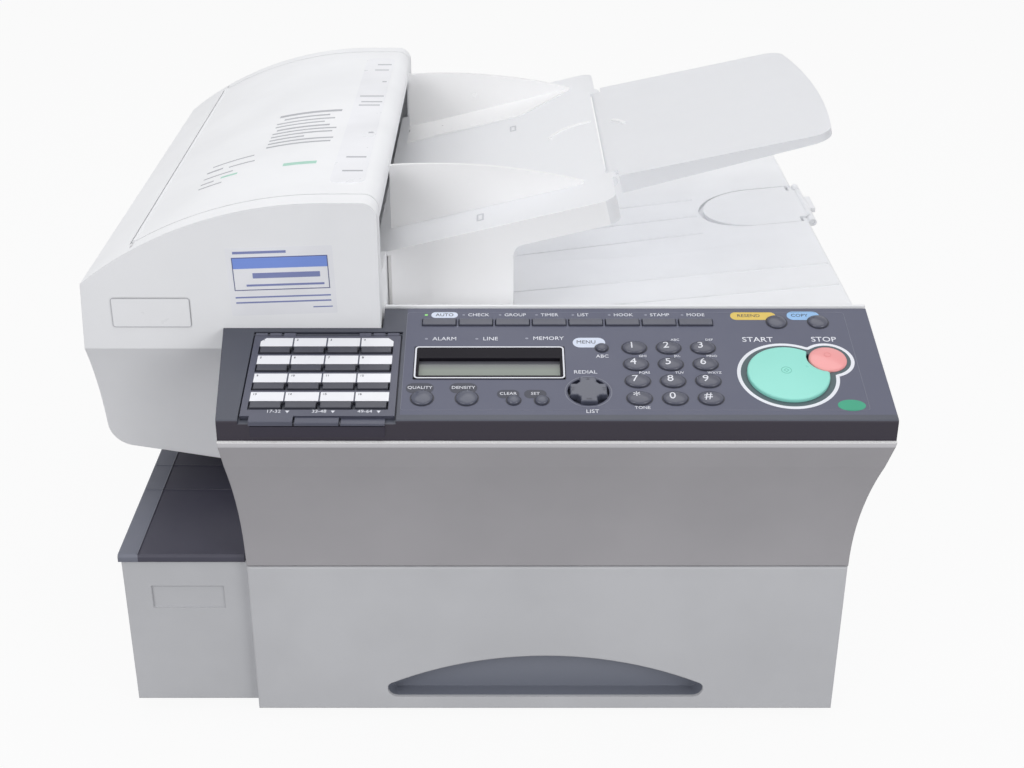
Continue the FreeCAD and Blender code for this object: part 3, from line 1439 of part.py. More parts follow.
def control_panel():
    outline = [(-PANEL_FACE, SHELL_TOP), (PANEL_REAR, SHELL_TOP),
               (PANEL_REAR, EDGE_TOP + S.panel_length * sine(S.panel_tilt)), (-PANEL_FACE, NOSE_TOP)]
    rear_left = -LEFT_OUTER - S.panel_splay
    block = prism("panel_block", "YZ", outline, (rear_left, OUTER), [((3,), S.panel_round)])
    side = prism("panel_side", "XY", [(-LEFT_OUTER, -PANEL_FACE), (rear_left, S.tower_front),
                                      (-2 * OUTER, S.tower_front), (-2 * OUTER, -PANEL_FACE)], (LOW, HIGH))
    notch = box("panel_notch", (-2 * OUTER, NOTCH), (S.tower_front - S.slip, S.body_depth), (0, S.tower_top))
    right_room = panel_inside("panel_right_room", (NOTCH + S.skin, OUTER - S.skin), PANEL_REAR - S.skin)
    left_room = panel_inside("panel_left_room", (-LEFT_OUTER + S.skin, NOTCH + 2 * S.skin),
                             S.tower_front - S.slip - S.skin)
    shell = cut("panel_shell", block, side, notch, right_room, left_room)
    extras = [panel_rod("panel_post", S.post_radius, across, up, (BOARD_TOP, -S.skin / 2))
              for across, up in BOARD_POSTS]
    left, right, rear = -S.page_left - S.page_gap, -S.page_right + S.page_gap, WELL_REAR
    extras.append(panel_bar("panel_page_rod", S.page_rod, (left - S.skin, right + S.skin), S.page_rear,
                            HINGE_OUT))
    well = panel_box("panel_well", (left, right), (-2 * S.panel_nose, rear), (-S.page_sink, S.wall))
    floor = panel_box("panel_well_floor", (left - S.skin, right + S.skin),
                      (S.seam - S.panel_nose, rear + S.seam), (-S.page_sink - S.page_floor, -S.page_sink))
    holed = cut("panel_holed", fuse("panel_floored", cut("panel_sunk", shell, well), floor), *key_holes())
    return fuse("panel", holed, *extras)


def display_window():
    lens = panel_box("window_lens", (-S.window_left, S.window_right), (S.window_front, S.window_rear),
                     (-S.skin, S.window_rise))
    return soft_top("window_soft", lens, S.window_rise / 2)


def display_module():
    return panel_box("module", (-S.window_left - S.seam, S.window_right + S.seam),
                     (S.window_front - S.seam, S.window_rear + S.seam), (-S.skin - S.module_depth, -S.skin))


def panel_board():
    out = (-S.board_drop, BOARD_TOP)
    right = panel_box("board_right", (-S.page_right - S.skin, OUTER - 2 * S.skin),
                      (2 * S.skin, S.board_rear), out)
    left = panel_box("board_left", (-LEFT_OUTER + 2 * S.skin, -S.page_right),
                     (2 * S.skin, S.board_left_rear), out)
    return fuse("keyboard", right, left)


# Flip pages over the one-touch keys: each leaf has a slot for each row, its own tab in front and two rings
# on the rod
def flip_page(number):
    label = f"page_{number}"
    low = S.page_lift + number * S.page_step - S.page_sink
    out = (low, low + S.page_thickness)
    left, right = -S.page_left, -S.page_right
    sheet_part = panel_box(label + "_sheet", (left, right), (-S.seam, S.page_rear - S.page_ring - S.slip),
                           out)
    margin = S.page_margin
    slots = [panel_box(label + "_slot", (S.touch_x - margin, TOUCH_KEYS[3][0] + S.touch_width + margin),
                       (up - margin, up + S.touch_depth + margin),
                       (-S.key_base, S.key_base)) for up in TOUCH_ROWS]
    pieces = [cut(label + "_slotted", sheet_part, *slots)]
    tab = (S.page_left - S.page_right - 2 * S.tab_margin) / 3
    tab_left = left + S.tab_margin + (2 - number) * tab
    tab_span = (tab_left + S.seam / 2, tab_left + tab - S.seam / 2)
    pieces.append(panel_box(label + "_bend", tab_span, (PAGE_FRONT, S.seam), out))
    pieces.append(box(label + "_tab", tab_span,
                      (-PANEL_FACE - S.slip - S.tab_thickness, -PANEL_FACE - S.slip),
                      (NOSE_TOP - S.tab_drop, NOSE_TOP + low + S.page_thickness / 2)))
    for start in (left + number * S.ring_pitch, right - (number + 1) * S.ring_pitch):
        span = (start + S.slip, start + S.ring_length)
        pieces.append(panel_box(label + "_tongue", span, (S.page_rear - 2 * S.page_ring, S.page_rear), out))
        pieces.append(panel_bar(label + "_ring", S.page_ring, span, S.page_rear, HINGE_OUT))
    bore = panel_bar(label + "_bore", S.page_rod + S.fit, (left - S.seam, right + S.seam), S.page_rear,
                     HINGE_OUT)
    return cut(label, fuse(label + "_whole", *pieces), bore)


node("control_panel", control_panel())
node("display_window", display_window())
node("display_module", display_module())
node("circuit_boards", group("boards", panel_board(), main_board()))
for number in range(3):
    node(f"flip_page_{number + 1}", flip_page(number))
node("one_touch_keys", key_comb("touch", TOUCH_KEYS, S.touch_width, S.touch_depth, TOUCH_BASE, S.touch_rise,
                                S.key_soft / 2))
node("function_keys", key_comb("function", FUNCTION_KEYS, S.function_width, S.function_depth, S.key_base,
                               S.key_rise / 2, S.key_soft / 2))
for name in ROUND_KEYS:
    node(f"{name}_key", round_key(name))
node("navigation_pad", navigation_pad())
for name, across, up in KEYPAD:
    node(name, keypad_key(name, across, up))


doc.recompute()
failed = [thing.Name for thing in doc.Objects if {"Invalid", "Error"} & set(thing.State)]
failed += [name for name, solid in nodes.items() if solid.Shape.isNull() or not solid.Shape.isValid()]
if failed:
    raise RuntimeError(f"pieces that could not be built: {sorted(set(failed))}")

os.makedirs("parts", exist_ok=True)
for name, solid in nodes.items():
    solid.Shape.exportStep(f"parts/{name}.step")
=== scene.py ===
import math

import bmesh
import bpy
from mathutils import Matrix, Vector
from mathutils.bvhtree import BVHTree


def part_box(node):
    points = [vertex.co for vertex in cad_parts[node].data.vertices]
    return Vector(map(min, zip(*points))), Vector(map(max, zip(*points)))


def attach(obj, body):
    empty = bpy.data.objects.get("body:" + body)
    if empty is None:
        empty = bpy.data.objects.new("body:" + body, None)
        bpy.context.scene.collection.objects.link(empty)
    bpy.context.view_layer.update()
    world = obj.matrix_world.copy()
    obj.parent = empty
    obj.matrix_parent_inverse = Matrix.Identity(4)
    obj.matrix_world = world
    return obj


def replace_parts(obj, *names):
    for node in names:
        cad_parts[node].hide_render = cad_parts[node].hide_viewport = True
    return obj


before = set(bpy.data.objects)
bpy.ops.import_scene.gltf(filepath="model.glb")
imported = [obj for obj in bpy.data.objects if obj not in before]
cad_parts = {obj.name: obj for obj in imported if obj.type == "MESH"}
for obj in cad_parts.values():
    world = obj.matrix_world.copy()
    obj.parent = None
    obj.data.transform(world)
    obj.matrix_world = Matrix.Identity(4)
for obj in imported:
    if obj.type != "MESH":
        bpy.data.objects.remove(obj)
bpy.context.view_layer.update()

# The studio: a camera at the height and distance that the photograph was taken from, one broad lamp overhead
# and two in front, and a white floor that runs out of sight and throws back only part of the light.
MM = 0.001
IMAGE_WIDTH = 1024
IMAGE_MIDDLE = 512
LENS_PIXELS = 1507.2
LENS_AXIS_PIXEL = 500.9
SENSOR = 36.0
CAMERA_SPOT = (9.7 * MM, -922.75 * MM, 581.6 * MM)
LOOKING_DOWN = math.radians(26.28)


def paint(red, green, blue):
    """A colour as a screen shows it, from 0 to 255, turned into the light that a shader works with."""
    light = []
    for part in (red, green, blue):
        share = part / 255
        light.append(share / 12.92 if share <= 0.04045 else ((share + 0.055) / 1.055) ** 2.4)
    return (*light, 1.0)


camera_data = bpy.data.cameras.new("camera")
camera_data.sensor_width = SENSOR
camera_data.lens = LENS_PIXELS * SENSOR / IMAGE_WIDTH
camera_data.shift_x = (IMAGE_MIDDLE - LENS_AXIS_PIXEL) / IMAGE_WIDTH
camera = bpy.data.objects.new("camera", camera_data)
camera.location = CAMERA_SPOT
camera.rotation_euler = (math.pi / 2 - LOOKING_DOWN, 0, 0)
bpy.context.scene.collection.objects.link(camera)
bpy.context.scene.camera = camera
bpy.context.scene.view_settings.view_transform = "Standard"

for name, spot, aim, size, watts in (
        ("overhead", (0.1, 0.1, 1.7), (0, 0, 0.1), 1.6, 11),
        ("front_left", (-1.3, -1.6, 1.1), (0, 0, 0.15), 1.0, 14),
        ("front_right", (1.4, -1.5, 0.9), (0, 0, 0.15), 1.0, 10.8)):
    light = bpy.data.lights.new(name, "AREA")
    light.size = size
    light.energy = watts
    lamp = bpy.data.objects.new(name, light)
    lamp.location = spot
    lamp.rotation_euler = (Vector(aim) - Vector(spot)).to_track_quat("-Z", "Y").to_euler()
    bpy.context.scene.collection.objects.link(lamp)


def feed(tree, socket, value):
    """Gives a socket a plain value, or what another node puts out."""
    if isinstance(value, bpy.types.NodeSocket):
        tree.links.new(value, socket)
    else:
        socket.default_value = value


def calculate(tree, operation, *values):
    """The result of a sum with plain numbers or with what other nodes put out."""
    step = tree.nodes.new("ShaderNodeMath")
    step.operation = operation
    for socket, value in zip(step.inputs, values):
        feed(tree, socket, value)
    return step.outputs[0]


def ranged(tree, value, given=(0, 1), wanted=(0, 1)):
    """A value carried over from one range of numbers to another, and held at its ends."""
    step = tree.nodes.new("ShaderNodeMapRange")
    feed(tree, step.inputs["Value"], value)
    for name, number in zip(("From Min", "From Max", "To Min", "To Max"), (*given, *wanted)):
        step.inputs[name].default_value = number
    return step.outputs["Result"]


def blended(tree, share, first, second):
    """A colour that goes from a first to a second one as the share goes from 0 to 1."""
    tone = tree.nodes.new("ShaderNodeMix")
    tone.data_type = "RGBA"
    for name, value in (("Factor", share), ("A", first), ("B", second)):
        feed(tree, tone.inputs[name], value)
    return tone.outputs["Result"]


def mix_shaders(tree, share, first, second):
    """Makes a material show a second shader over a share of the first."""
    mix = tree.nodes.new("ShaderNodeMixShader")
    for socket, source in zip(mix.inputs, (share, first, second)):
        tree.links.new(source, socket)
    tree.links.new(mix.outputs["Shader"], tree.nodes["Material Output"].inputs["Surface"])


def seen_directly(tree):
    """A mask that is 1 for what the camera sees, also in a mirror or through glass, and 0 for light."""
    ray = tree.nodes.new("ShaderNodeLightPath").outputs
    mirrored = calculate(tree, "MAXIMUM", ray["Is Camera Ray"], ray["Is Glossy Ray"])
    return calculate(tree, "MAXIMUM", mirrored, ray["Is Transmission Ray"])


SKY_LIGHT = 0.4
SKY_SEEN = 0.97
world = bpy.data.worlds.new("studio")
world.use_nodes = True
sky = world.node_tree.nodes["Background"]
sky.inputs["Color"].default_value = paint(255, 255, 255)
sky_power = ranged(world.node_tree, seen_directly(world.node_tree), wanted=(SKY_LIGHT, SKY_SEEN))
world.node_tree.links.new(sky_power, sky.inputs["Strength"])
bpy.context.scene.world = world

FLOOR_REACH = 8.0
FLOOR_GLOW = 0.93
floor_shape = bmesh.new()
bmesh.ops.create_grid(floor_shape, x_segments=1, y_segments=1, size=FLOOR_REACH)
floor_mesh = bpy.data.meshes.new("floor")
floor_shape.to_mesh(floor_mesh)
floor_shape.free()
floor_paint = bpy.data.materials.new("floor_paint")
floor_paint.use_nodes = True
floor_tree = floor_paint.node_tree
floor_matt = floor_tree.nodes["Principled BSDF"]
floor_matt.inputs["Roughness"].default_value = 0.9
bounced = floor_tree.nodes.new("ShaderNodeLightPath").outputs["Is Diffuse Ray"]
floor_tone = blended(floor_tree, bounced, paint(205, 205, 207), paint(163, 163, 165))
floor_tree.links.new(floor_tone, floor_matt.inputs["Base Color"])
floor_light = floor_tree.nodes.new("ShaderNodeEmission")
floor_share = calculate(floor_tree, "MULTIPLY", seen_directly(floor_tree), FLOOR_GLOW)
mix_shaders(floor_tree, floor_share, floor_matt.outputs["BSDF"], floor_light.outputs["Emission"])
floor_mesh.materials.append(floor_paint)
floor = bpy.data.objects.new("floor", floor_mesh)
bpy.context.scene.collection.objects.link(floor)

# Lower frame and body covers: injection-moulded styrene with a fine spark-eroded grain, a little uneven in
# tone and rubbed smoother where hands and cloths have passed. They clip and screw together.
GRAIN_PER_METRE = 2600
MOTTLE_PER_METRE = 16
MOTTLE_RANGE = (0.35, 0.65)
SMUDGE_PER_METRE = 55
SMUDGE_MIDDLE = 0.5
GRAIN_DEPTH = 0.1 * MM


def surface_group():
    """The grain, the uneven tone and the rubbed patches that every moulded piece shows."""
    group = bpy.data.node_groups.new("moulded_surface", "ShaderNodeTree")
    for name, kind in (("Color", "NodeSocketColor"), ("Second Color", "NodeSocketColor"),
                       ("Rough", "NodeSocketFloat"), ("Rough Spread", "NodeSocketFloat")):
        group.interface.new_socket(name, in_out="INPUT", socket_type=kind)
    for name, kind in (("Color", "NodeSocketColor"), ("Roughness", "NodeSocketFloat"),
                       ("Height", "NodeSocketFloat")):
        group.interface.new_socket(name, in_out="OUTPUT", socket_type=kind)
    given = group.nodes.new("NodeGroupInput").outputs
    result = group.nodes.new("NodeGroupOutput").inputs
    place = group.nodes.new("ShaderNodeTexCoord").outputs["Object"]
    noises = {}
    for name, scale, detail in (("mottle", MOTTLE_PER_METRE, 3), ("smudge", SMUDGE_PER_METRE, 4),
                                ("grain", GRAIN_PER_METRE, 2)):
        noise = group.nodes.new("ShaderNodeTexNoise")
        noise.inputs["Scale"].default_value = scale
        noise.inputs["Detail"].default_value = detail
        group.links.new(place, noise.inputs["Vector"])
        noises[name] = noise.outputs["Fac"]
    mottle = ranged(group, noises["mottle"], given=MOTTLE_RANGE)
    tone = blended(group, mottle, given["Color"], given["Second Color"])
    swing = calculate(group, "SUBTRACT", noises["smudge"], SMUDGE_MIDDLE)
    rough = calculate(group, "MULTIPLY_ADD", swing, given["Rough Spread"], given["Rough"])
    group.links.new(tone, result["Color"])
    group.links.new(rough, result["Roughness"])
    group.links.new(noises["grain"], result["Height"])
    return group


MOULDED_SURFACE = surface_group()


def moulded(name, colour, second, rough=0.5, spread=0.14, grain=0.12, edge=0.5):
    """A moulded plastic with its own two tones, gloss, depth of grain and softness of edge in millimetres."""
    material = bpy.data.materials.new(name)
    material.use_nodes = True
    nodes, links = material.node_tree.nodes, material.node_tree.links
    shader = nodes["Principled BSDF"]
    surface = nodes.new("ShaderNodeGroup")
    surface.node_tree = MOULDED_SURFACE
    surface.inputs["Color"].default_value = colour
    surface.inputs["Second Color"].default_value = second
    surface.inputs["Rough"].default_value = rough
    surface.inputs["Rough Spread"].default_value = spread
    bump = nodes.new("ShaderNodeBump")
    bump.inputs["Strength"].default_value = grain
    bump.inputs["Distance"].default_value = GRAIN_DEPTH
    if edge:
        soft_edge = nodes.new("ShaderNodeBevel")
        soft_edge.samples = 4
        soft_edge.inputs["Radius"].default_value = edge * MM
        links.new(soft_edge.outputs["Normal"], bump.inputs["Normal"])
    if colour == second:
        shader.inputs["Base Color"].default_value = colour
    else:
        links.new(surface.outputs["Color"], shader.inputs["Base Color"])
    links.new(surface.outputs["Height"], bump.inputs["Height"])
    links.new(surface.outputs["Roughness"], shader.inputs["Roughness"])
    links.new(bump.outputs["Normal"], shader.inputs["Normal"])
    return material


def finish(material, *names):
    """Gives a material to pieces that keep their own solid shape."""
    for name in names:
        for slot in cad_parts[name].material_slots:
            slot.material = material


def inside_box_group():
    """A mask that is 1 for the part of a piece that lies inside a box, and 0 elsewhere."""
    group = bpy.data.node_groups.new("inside_box", "ShaderNodeTree")
    for name in ("Middle", "Half"):
        group.interface.new_socket(name, in_out="INPUT", socket_type="NodeSocketVector")
    group.interface.new_socket("Mask", in_out="OUTPUT", socket_type="NodeSocketFloat")
    given = group.nodes.new("NodeGroupInput").outputs
    result = group.nodes.new("NodeGroupOutput").inputs
    place = group.nodes.new("ShaderNodeTexCoord").outputs["Object"]
    for operation, name in (("SUBTRACT", "Middle"), ("ABSOLUTE", None), ("DIVIDE", "Half")):
        step = group.nodes.new("ShaderNodeVectorMath")
        step.operation = operation
        group.links.new(place, step.inputs[0])
        if name:
            group.links.new(given[name], step.inputs[1])
        place = step.outputs["Vector"]
    parts = group.nodes.new("ShaderNodeSeparateXYZ")
    group.links.new(place, parts.inputs["Vector"])
    widest = calculate(group, "MAXIMUM", parts.outputs["X"], parts.outputs["Y"])
    widest = calculate(group, "MAXIMUM", widest, parts.outputs["Z"])
    group.links.new(calculate(group, "LESS_THAN", widest, 1.0), result["Mask"])
    return group


INSIDE_BOX = inside_box_group()


def overlaid(material, mask, colour):
    """Lays another colour over the one that a moulding has, where a mask is 1."""
    base = material.node_tree.nodes["Principled BSDF"].inputs["Base Color"]
    first = base.links[0].from_socket if base.is_linked else base.default_value
    material.node_tree.links.new(blended(material.node_tree, mask, first, colour), base)


def inlaid(material, low, high, colour):
    """Gives another colour to the part of a moulding that lies inside a box."""
    inside = material.node_tree.nodes.new("ShaderNodeGroup")
    inside.node_tree = INSIDE_BOX
    inside.inputs["Middle"].default_value = (Vector(low) + Vector(high)) / 2
    inside.inputs["Half"].default_value = (Vector(high) - Vector(low)) / 2
    overlaid(material, inside.outputs["Mask"], colour)


def skin_of(name):
    """The surface of a solid piece, to set other pieces on."""
    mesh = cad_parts[name].data
    points = [point.co for point in mesh.vertices]
    return BVHTree.FromPolygons(points, [face.vertices for face in mesh.polygons])


SHELL_WHITE = moulded("shell_white", paint(246, 247, 250), paint(241, 242, 245), edge=0.8)
COVER_GREY = moulded("cover_grey", paint(172, 170, 174), paint(167, 165, 169), edge=0.8)
BLOCK_WARM = moulded("block_warm", paint(244, 243, 242), paint(240, 239, 238), edge=0.8)
finish(SHELL_WHITE, "base_frame", "main_housing", "top_cover", "output_stopper")
finish(BLOCK_WARM, "exit_cover")
SKY_HEIGHT = 0.6
DOWN = Vector((0, 0, -1))
LEDGE_HIGHLIGHT = 0.5 * MM
LEDGE_DEPTH = 6 * MM
LIP_LIT_BAND = 3.2 * MM
cover_low, cover_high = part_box("front_cover")
ledge_above = Vector(((cover_low.x + cover_high.x) / 2, cover_low.y + MM, SKY_HEIGHT))
ledge_height = skin_of("front_cover").ray_cast(ledge_above, DOWN)[0].z
# The cover's lip under the console carries a painted highlight along its top edge and a lighter painted band of
# light below it.
for drop, tone in ((LIP_LIT_BAND, paint(206, 205, 209)), (LEDGE_HIGHLIGHT, paint(252, 252, 253))):
    inlaid(COVER_GREY, (cover_low.x - MM, cover_low.y - MM, ledge_height - drop),
           (cover_high.x + MM, cover_low.y + LEDGE_DEPTH, ledge_height + MM), tone)
finish(COVER_GREY, "front_cover")

# Feet and screws: four moulded rubber pads pressed into the frame, and four pan-head screws of plated
# steel that hold the body down.
RUBBER_BLACK = moulded("rubber_black", paint(44, 44, 46), paint(36, 36, 38), rough=0.8, grain=0.35, edge=0.4)
finish(RUBBER_BLACK, "rubber_feet")
BRUSH_PER_METRE = 420
BRUSH_STRETCH = 30
BRUSH_GLOSS = 0.1
BRUSH_SHADE = 0.8


def darker(colour, share):
    """A colour with only a share of its light."""
    return (*(share * part for part in colour[:3]), 1.0)


def plated_steel(name, colour, rough):
    """Zinc-plated steel: fine rolling lines along the piece, and a gloss that changes with them."""
    material = bpy.data.materials.new(name)
    material.use_nodes = True
    tree = material.node_tree
    shader = tree.nodes["Principled BSDF"].inputs
    shader["Metallic"].default_value = 1.0
    stretch = tree.nodes.new("ShaderNodeMapping")
    stretch.inputs["Scale"].default_value = (BRUSH_STRETCH, 1, BRUSH_STRETCH)
    brush = tree.nodes.new("ShaderNodeTexNoise")
    brush.inputs["Scale"].default_value = BRUSH_PER_METRE / BRUSH_STRETCH
    tree.links.new(tree.nodes.new("ShaderNodeTexCoord").outputs["Object"], stretch.inputs["Vector"])
    tree.links.new(stretch.outputs["Vector"], brush.inputs["Vector"])
    lines = brush.outputs["Fac"]
    gloss = ranged(tree, lines, wanted=(rough - BRUSH_GLOSS, rough + BRUSH_GLOSS))
    tree.links.new(gloss, shader["Roughness"])
    tree.links.new(blended(tree, lines, colour, darker(colour, BRUSH_SHADE)), shader["Base Color"])
    return material


ZINC_STEEL = plated_steel("zinc_steel", paint(200, 200, 196), 0.32)
finish(ZINC_STEEL, "housing_screws")

# Rear sockets: the mains inlet and the two line jacks, each moulded of black nylon in one piece and snapped
# into the rear wall.
NYLON_BLACK = moulded("nylon_black", paint(40, 40, 43), paint(32, 32, 35), rough=0.45, edge=0.3)
finish(NYLON_BLACK, "rear_sockets")

# Paper cassette: a grey styrene bin that slides under the body, with a finger grip in its front and a slate
# lid over the end that stands out at the left. Fine ribs and a crease cross the lid.
DRAWER_GREY = moulded("drawer_grey", paint(200, 201, 205), paint(194, 195, 199), edge=0.8)
LID_SLATE = moulded("lid_slate", paint(65, 64, 79), paint(58, 57, 72), rough=0.42, edge=0.8)
finish(DRAWER_GREY, "cassette_tray")
DRAWER_FRONT = moulded("drawer_front", paint(204, 205, 209), paint(198, 199, 203), edge=0.8)
drawer_low, drawer_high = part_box("cassette_front")
DRAWER_EDGE = Vector(((drawer_low.x + drawer_high.x) / 2, drawer_low.y, drawer_low.z))
GRIP_HALF = 95.0
GRIP_FLOOR, GRIP_CEILING = 8.0, 40.0
GRIP_LIP = 2.0
# The inside of the finger grip is painted darker: painted shade in the recess under its overhanging top.
inlaid(DRAWER_FRONT, DRAWER_EDGE + Vector((-GRIP_HALF, GRIP_LIP, GRIP_FLOOR)) * MM,
       DRAWER_EDGE + Vector((GRIP_HALF, GRIP_HALF, GRIP_CEILING)) * MM, paint(124, 128, 140))
finish(DRAWER_FRONT, "cassette_front")
lid_low, lid_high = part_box("cassette_cover")
LID_CREASE = 11.5 * MM
MARGIN = Vector((MM, MM, MM))
# The end of the lid left of the crease, where it slopes down, is painted lighter: a painted reflection.
inlaid(LID_SLATE, lid_low - MARGIN, (lid_low.x + LID_CREASE, lid_high.y + MM, lid_high.z + MM),
       paint(112, 115, 128))
finish(LID_SLATE, "cassette_cover")
LID_RIB_BACK = (74.9 * MM, 105.3 * MM)
LID_RIB_WIDTH = 0.9
LID_RIB_RISE = 0.3
LID_RIB_SHORT = 2.0
PRINT = 0.06
SHARP_EDGE = math.radians(35)


def flat_plate(width, depth, corner=0, segments=6):
    """A flat sheet with round corners, centred on the origin, with its sizes in millimetres."""
    shape = bmesh.new()
    bmesh.ops.create_grid(shape, x_segments=1, y_segments=1, size=0.5)
    bmesh.ops.scale(shape, vec=(width * MM, depth * MM, 1), verts=shape.verts)
    if corner:
        bmesh.ops.bevel(shape, geom=list(shape.verts), offset=corner * MM, segments=segments, profile=0.5,
                        affect="VERTICES", material=-1)
    return shape


def thicken(shape, low, high):
    """Turns a flat sheet into a plate that lies between two heights in millimetres."""
    bmesh.ops.translate(shape, vec=(0, 0, low * MM), verts=shape.verts)
    raised = bmesh.ops.extrude_face_region(shape, geom=list(shape.faces))["geom"]
    lifted = [part for part in raised if isinstance(part, bmesh.types.BMVert)]
    bmesh.ops.translate(shape, vec=(0, 0, (high - low) * MM), verts=lifted)
    return shape


def add(whole, shape, place):
    """Carries a shape to its place and makes it part of a larger one."""
    bmesh.ops.transform(shape, matrix=place, verts=shape.verts)
    step = bpy.data.meshes.new("step")
    shape.to_mesh(step)
    shape.free()
    whole.from_mesh(step)
    bpy.data.meshes.remove(step)


def piece(name, shape, material, body):
    """Makes an object of a shape, with its finish, that moves with a body of the machine."""
    bmesh.ops.recalc_face_normals(shape, faces=shape.faces)
    for face in shape.faces:
        face.smooth = True
    mesh = bpy.data.meshes.new(name)
    shape.to_mesh(mesh)
    shape.free()
    mesh.set_sharp_from_angle(angle=SHARP_EDGE)
    mesh.materials.append(material)
    thing = bpy.data.objects.new(name, mesh)
    bpy.context.scene.collection.objects.link(thing)
    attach(thing, body)
    return thing


def single(name, shape, place, material, body):
    """Makes an object of one shape alone, carried to its place."""
    bmesh.ops.transform(shape, matrix=place, verts=shape.verts)
    return piece(name, shape, material, body)


lid_middle = (lid_low + lid_high) / 2
lid_size = (lid_high - lid_low) / MM
lid_ribs = bmesh.new()
for back in LID_RIB_BACK:
    rib = thicken(flat_plate(lid_size.x - LID_RIB_SHORT, LID_RIB_WIDTH), -LID_RIB_RISE, LID_RIB_RISE)
    add(lid_ribs, rib, Matrix.Translation((lid_middle.x, lid_low.y + back, lid_high.z)))
crease = thicken(flat_plate(LID_RIB_WIDTH, lid_size.y - LID_RIB_SHORT), -LID_RIB_RISE, LID_RIB_RISE)
add(lid_ribs, crease, Matrix.Translation((lid_low.x + LID_CREASE, lid_middle.y, lid_high.z)))
piece("lid_ribs", lid_ribs, LID_SLATE, "cassette")

# Lift plate: a pressed sheet of plated steel that pushes the paper stack up to the pickup roller. It turns
# on a rod between two lugs of the cassette's floor.
finish(plated_steel("lift_steel", paint(188, 188, 186), 0.38), "lift_plate")

# Print engine: steel side plates that carry the shafts, with a toner cartridge, a laser unit, a motor, a
# coated drum and rubber and fluorocarbon rollers between them.
TONER_BLACK = moulded("toner_black", paint(52, 52, 56), paint(44, 44, 48), edge=0.4)
DRUM_GREEN = moulded("drum_green", paint(90, 150, 140), paint(82, 142, 132),
                     rough=0.12, spread=0.1, grain=0.02, edge=0.2)
ROLLER_BROWN = moulded("roller_brown", paint(66, 52, 46), paint(58, 46, 41),
                       rough=0.25, grain=0.05, edge=0.2)
ROLLER_RUBBER = moulded("roller_rubber", paint(58, 58, 60), paint(50, 50, 52),
                        rough=0.75, grain=0.3, edge=0.2)
finish(plated_steel("engine_steel", paint(196, 196, 192), 0.3), "engine_side_plates", "drive_motor")
finish(TONER_BLACK, "toner_cartridge", "laser_unit", "image_sensor")
finish(DRUM_GREEN, "drum")
finish(ROLLER_BROWN, "heat_roller")
finish(ROLLER_RUBBER, "pressure_roller", "pickup_roller", "adf_feed_roller")

# Circuit boards: green fibreglass with copper tracks under the lacquer, screwed to the rear wall and under
# the control panel.
TRACKS_PER_METRE = 90
TRACK_SHARE = 0.05
board_lacquer = bpy.data.materials.new("board_lacquer")
board_lacquer.use_nodes = True
board_nodes, board_links = board_lacquer.node_tree.nodes, board_lacquer.node_tree.links
board_place = board_nodes.new("ShaderNodeTexCoord")
board_tracks = board_nodes.new("ShaderNodeTexBrick")
board_tracks.inputs["Color1"].default_value = paint(28, 96, 58)
board_tracks.inputs["Color2"].default_value = paint(24, 86, 52)
board_tracks.inputs["Mortar"].default_value = paint(66, 140, 84)
board_tracks.inputs["Scale"].default_value = TRACKS_PER_METRE
board_tracks.inputs["Mortar Size"].default_value = TRACK_SHARE
board_links.new(board_place.outputs["Object"], board_tracks.inputs["Vector"])
board_links.new(board_tracks.outputs["Color"], board_nodes["Principled BSDF"].inputs["Base Color"])
board_nodes["Principled BSDF"].inputs["Roughness"].default_value = 0.3
finish(board_lacquer, "circuit_boards")

# Scanner tower: a tall white moulding with an arched lid over the sheet feed. The front carries a bare
# badge plate and an adhesive label that is printed in blue on white.
finish(SHELL_WHITE, "scanner_housing", "adf_cover")
TOWER_FACE = 60.0
UPRIGHT = Matrix.Rotation(math.pi / 2, 4, "X")
INK_SHADE = 0.9


def place_at(across, back, up):
    """A move to a place given in millimetres from the middle of the drawer's lower front edge."""
    return Matrix.Translation(DRAWER_EDGE + Vector((across, back, up)) * MM)


def printed(name, colour, rough=0.45):
    """Ink or film with a slightly uneven coat."""
    return moulded(name, colour, darker(colour, INK_SHADE), rough=rough, spread=0.2, grain=0.03, edge=0)


def ring_of(shape, line):
    """Leaves only a line of a given width in millimetres along the edge of a flat sheet."""
    inner = list(shape.faces)
    bmesh.ops.inset_region(shape, faces=inner, thickness=line * MM, use_boundary=True, use_even_offset=True)
    bmesh.ops.delete(shape, geom=inner, context="FACES")
    return shape


LABEL_WHITE = printed("label_white", paint(246, 247, 252))
LABEL_BLUE = printed("label_blue", paint(128, 156, 232))
INK_NAVY = printed("ink_navy", paint(92, 98, 140))
INK_BLUE = printed("ink_blue", paint(132, 142, 190))
LABEL_SPOT = (-150.0, 253.0)
LABEL_TURN = math.radians(2)
LABEL_SIZE = (60.0, 41.0)
LABEL_CORNER = 0.8
BAND_SIZE = (54.0, 6.8)
BAND_UP = 11.4
LABEL_FRAME = (54.0, 20.0)
LABEL_FRAME_UP = 4.8
LABEL_LINE = 0.45
LABEL_TEXT = ((-11.0, 17.6, 30.0, 1.5), (3.0, 3.6, 38.0, 3.2), (2.0, -2.2, 44.0, 1.2), (0.0, -9.4, 54.0, 0.9),
              (0.0, -12.6, 54.0, 0.9), (22.0, -16.4, 11.0, 0.7))


def on_label(across, up):
    """A place on the adhesive label, in millimetres from its middle."""
    middle = place_at(LABEL_SPOT[0], TOWER_FACE, LABEL_SPOT[1])
    turned = UPRIGHT @ Matrix.Rotation(LABEL_TURN, 4, "Z")
    return middle @ turned @ Matrix.Translation((across * MM, up * MM, 0))


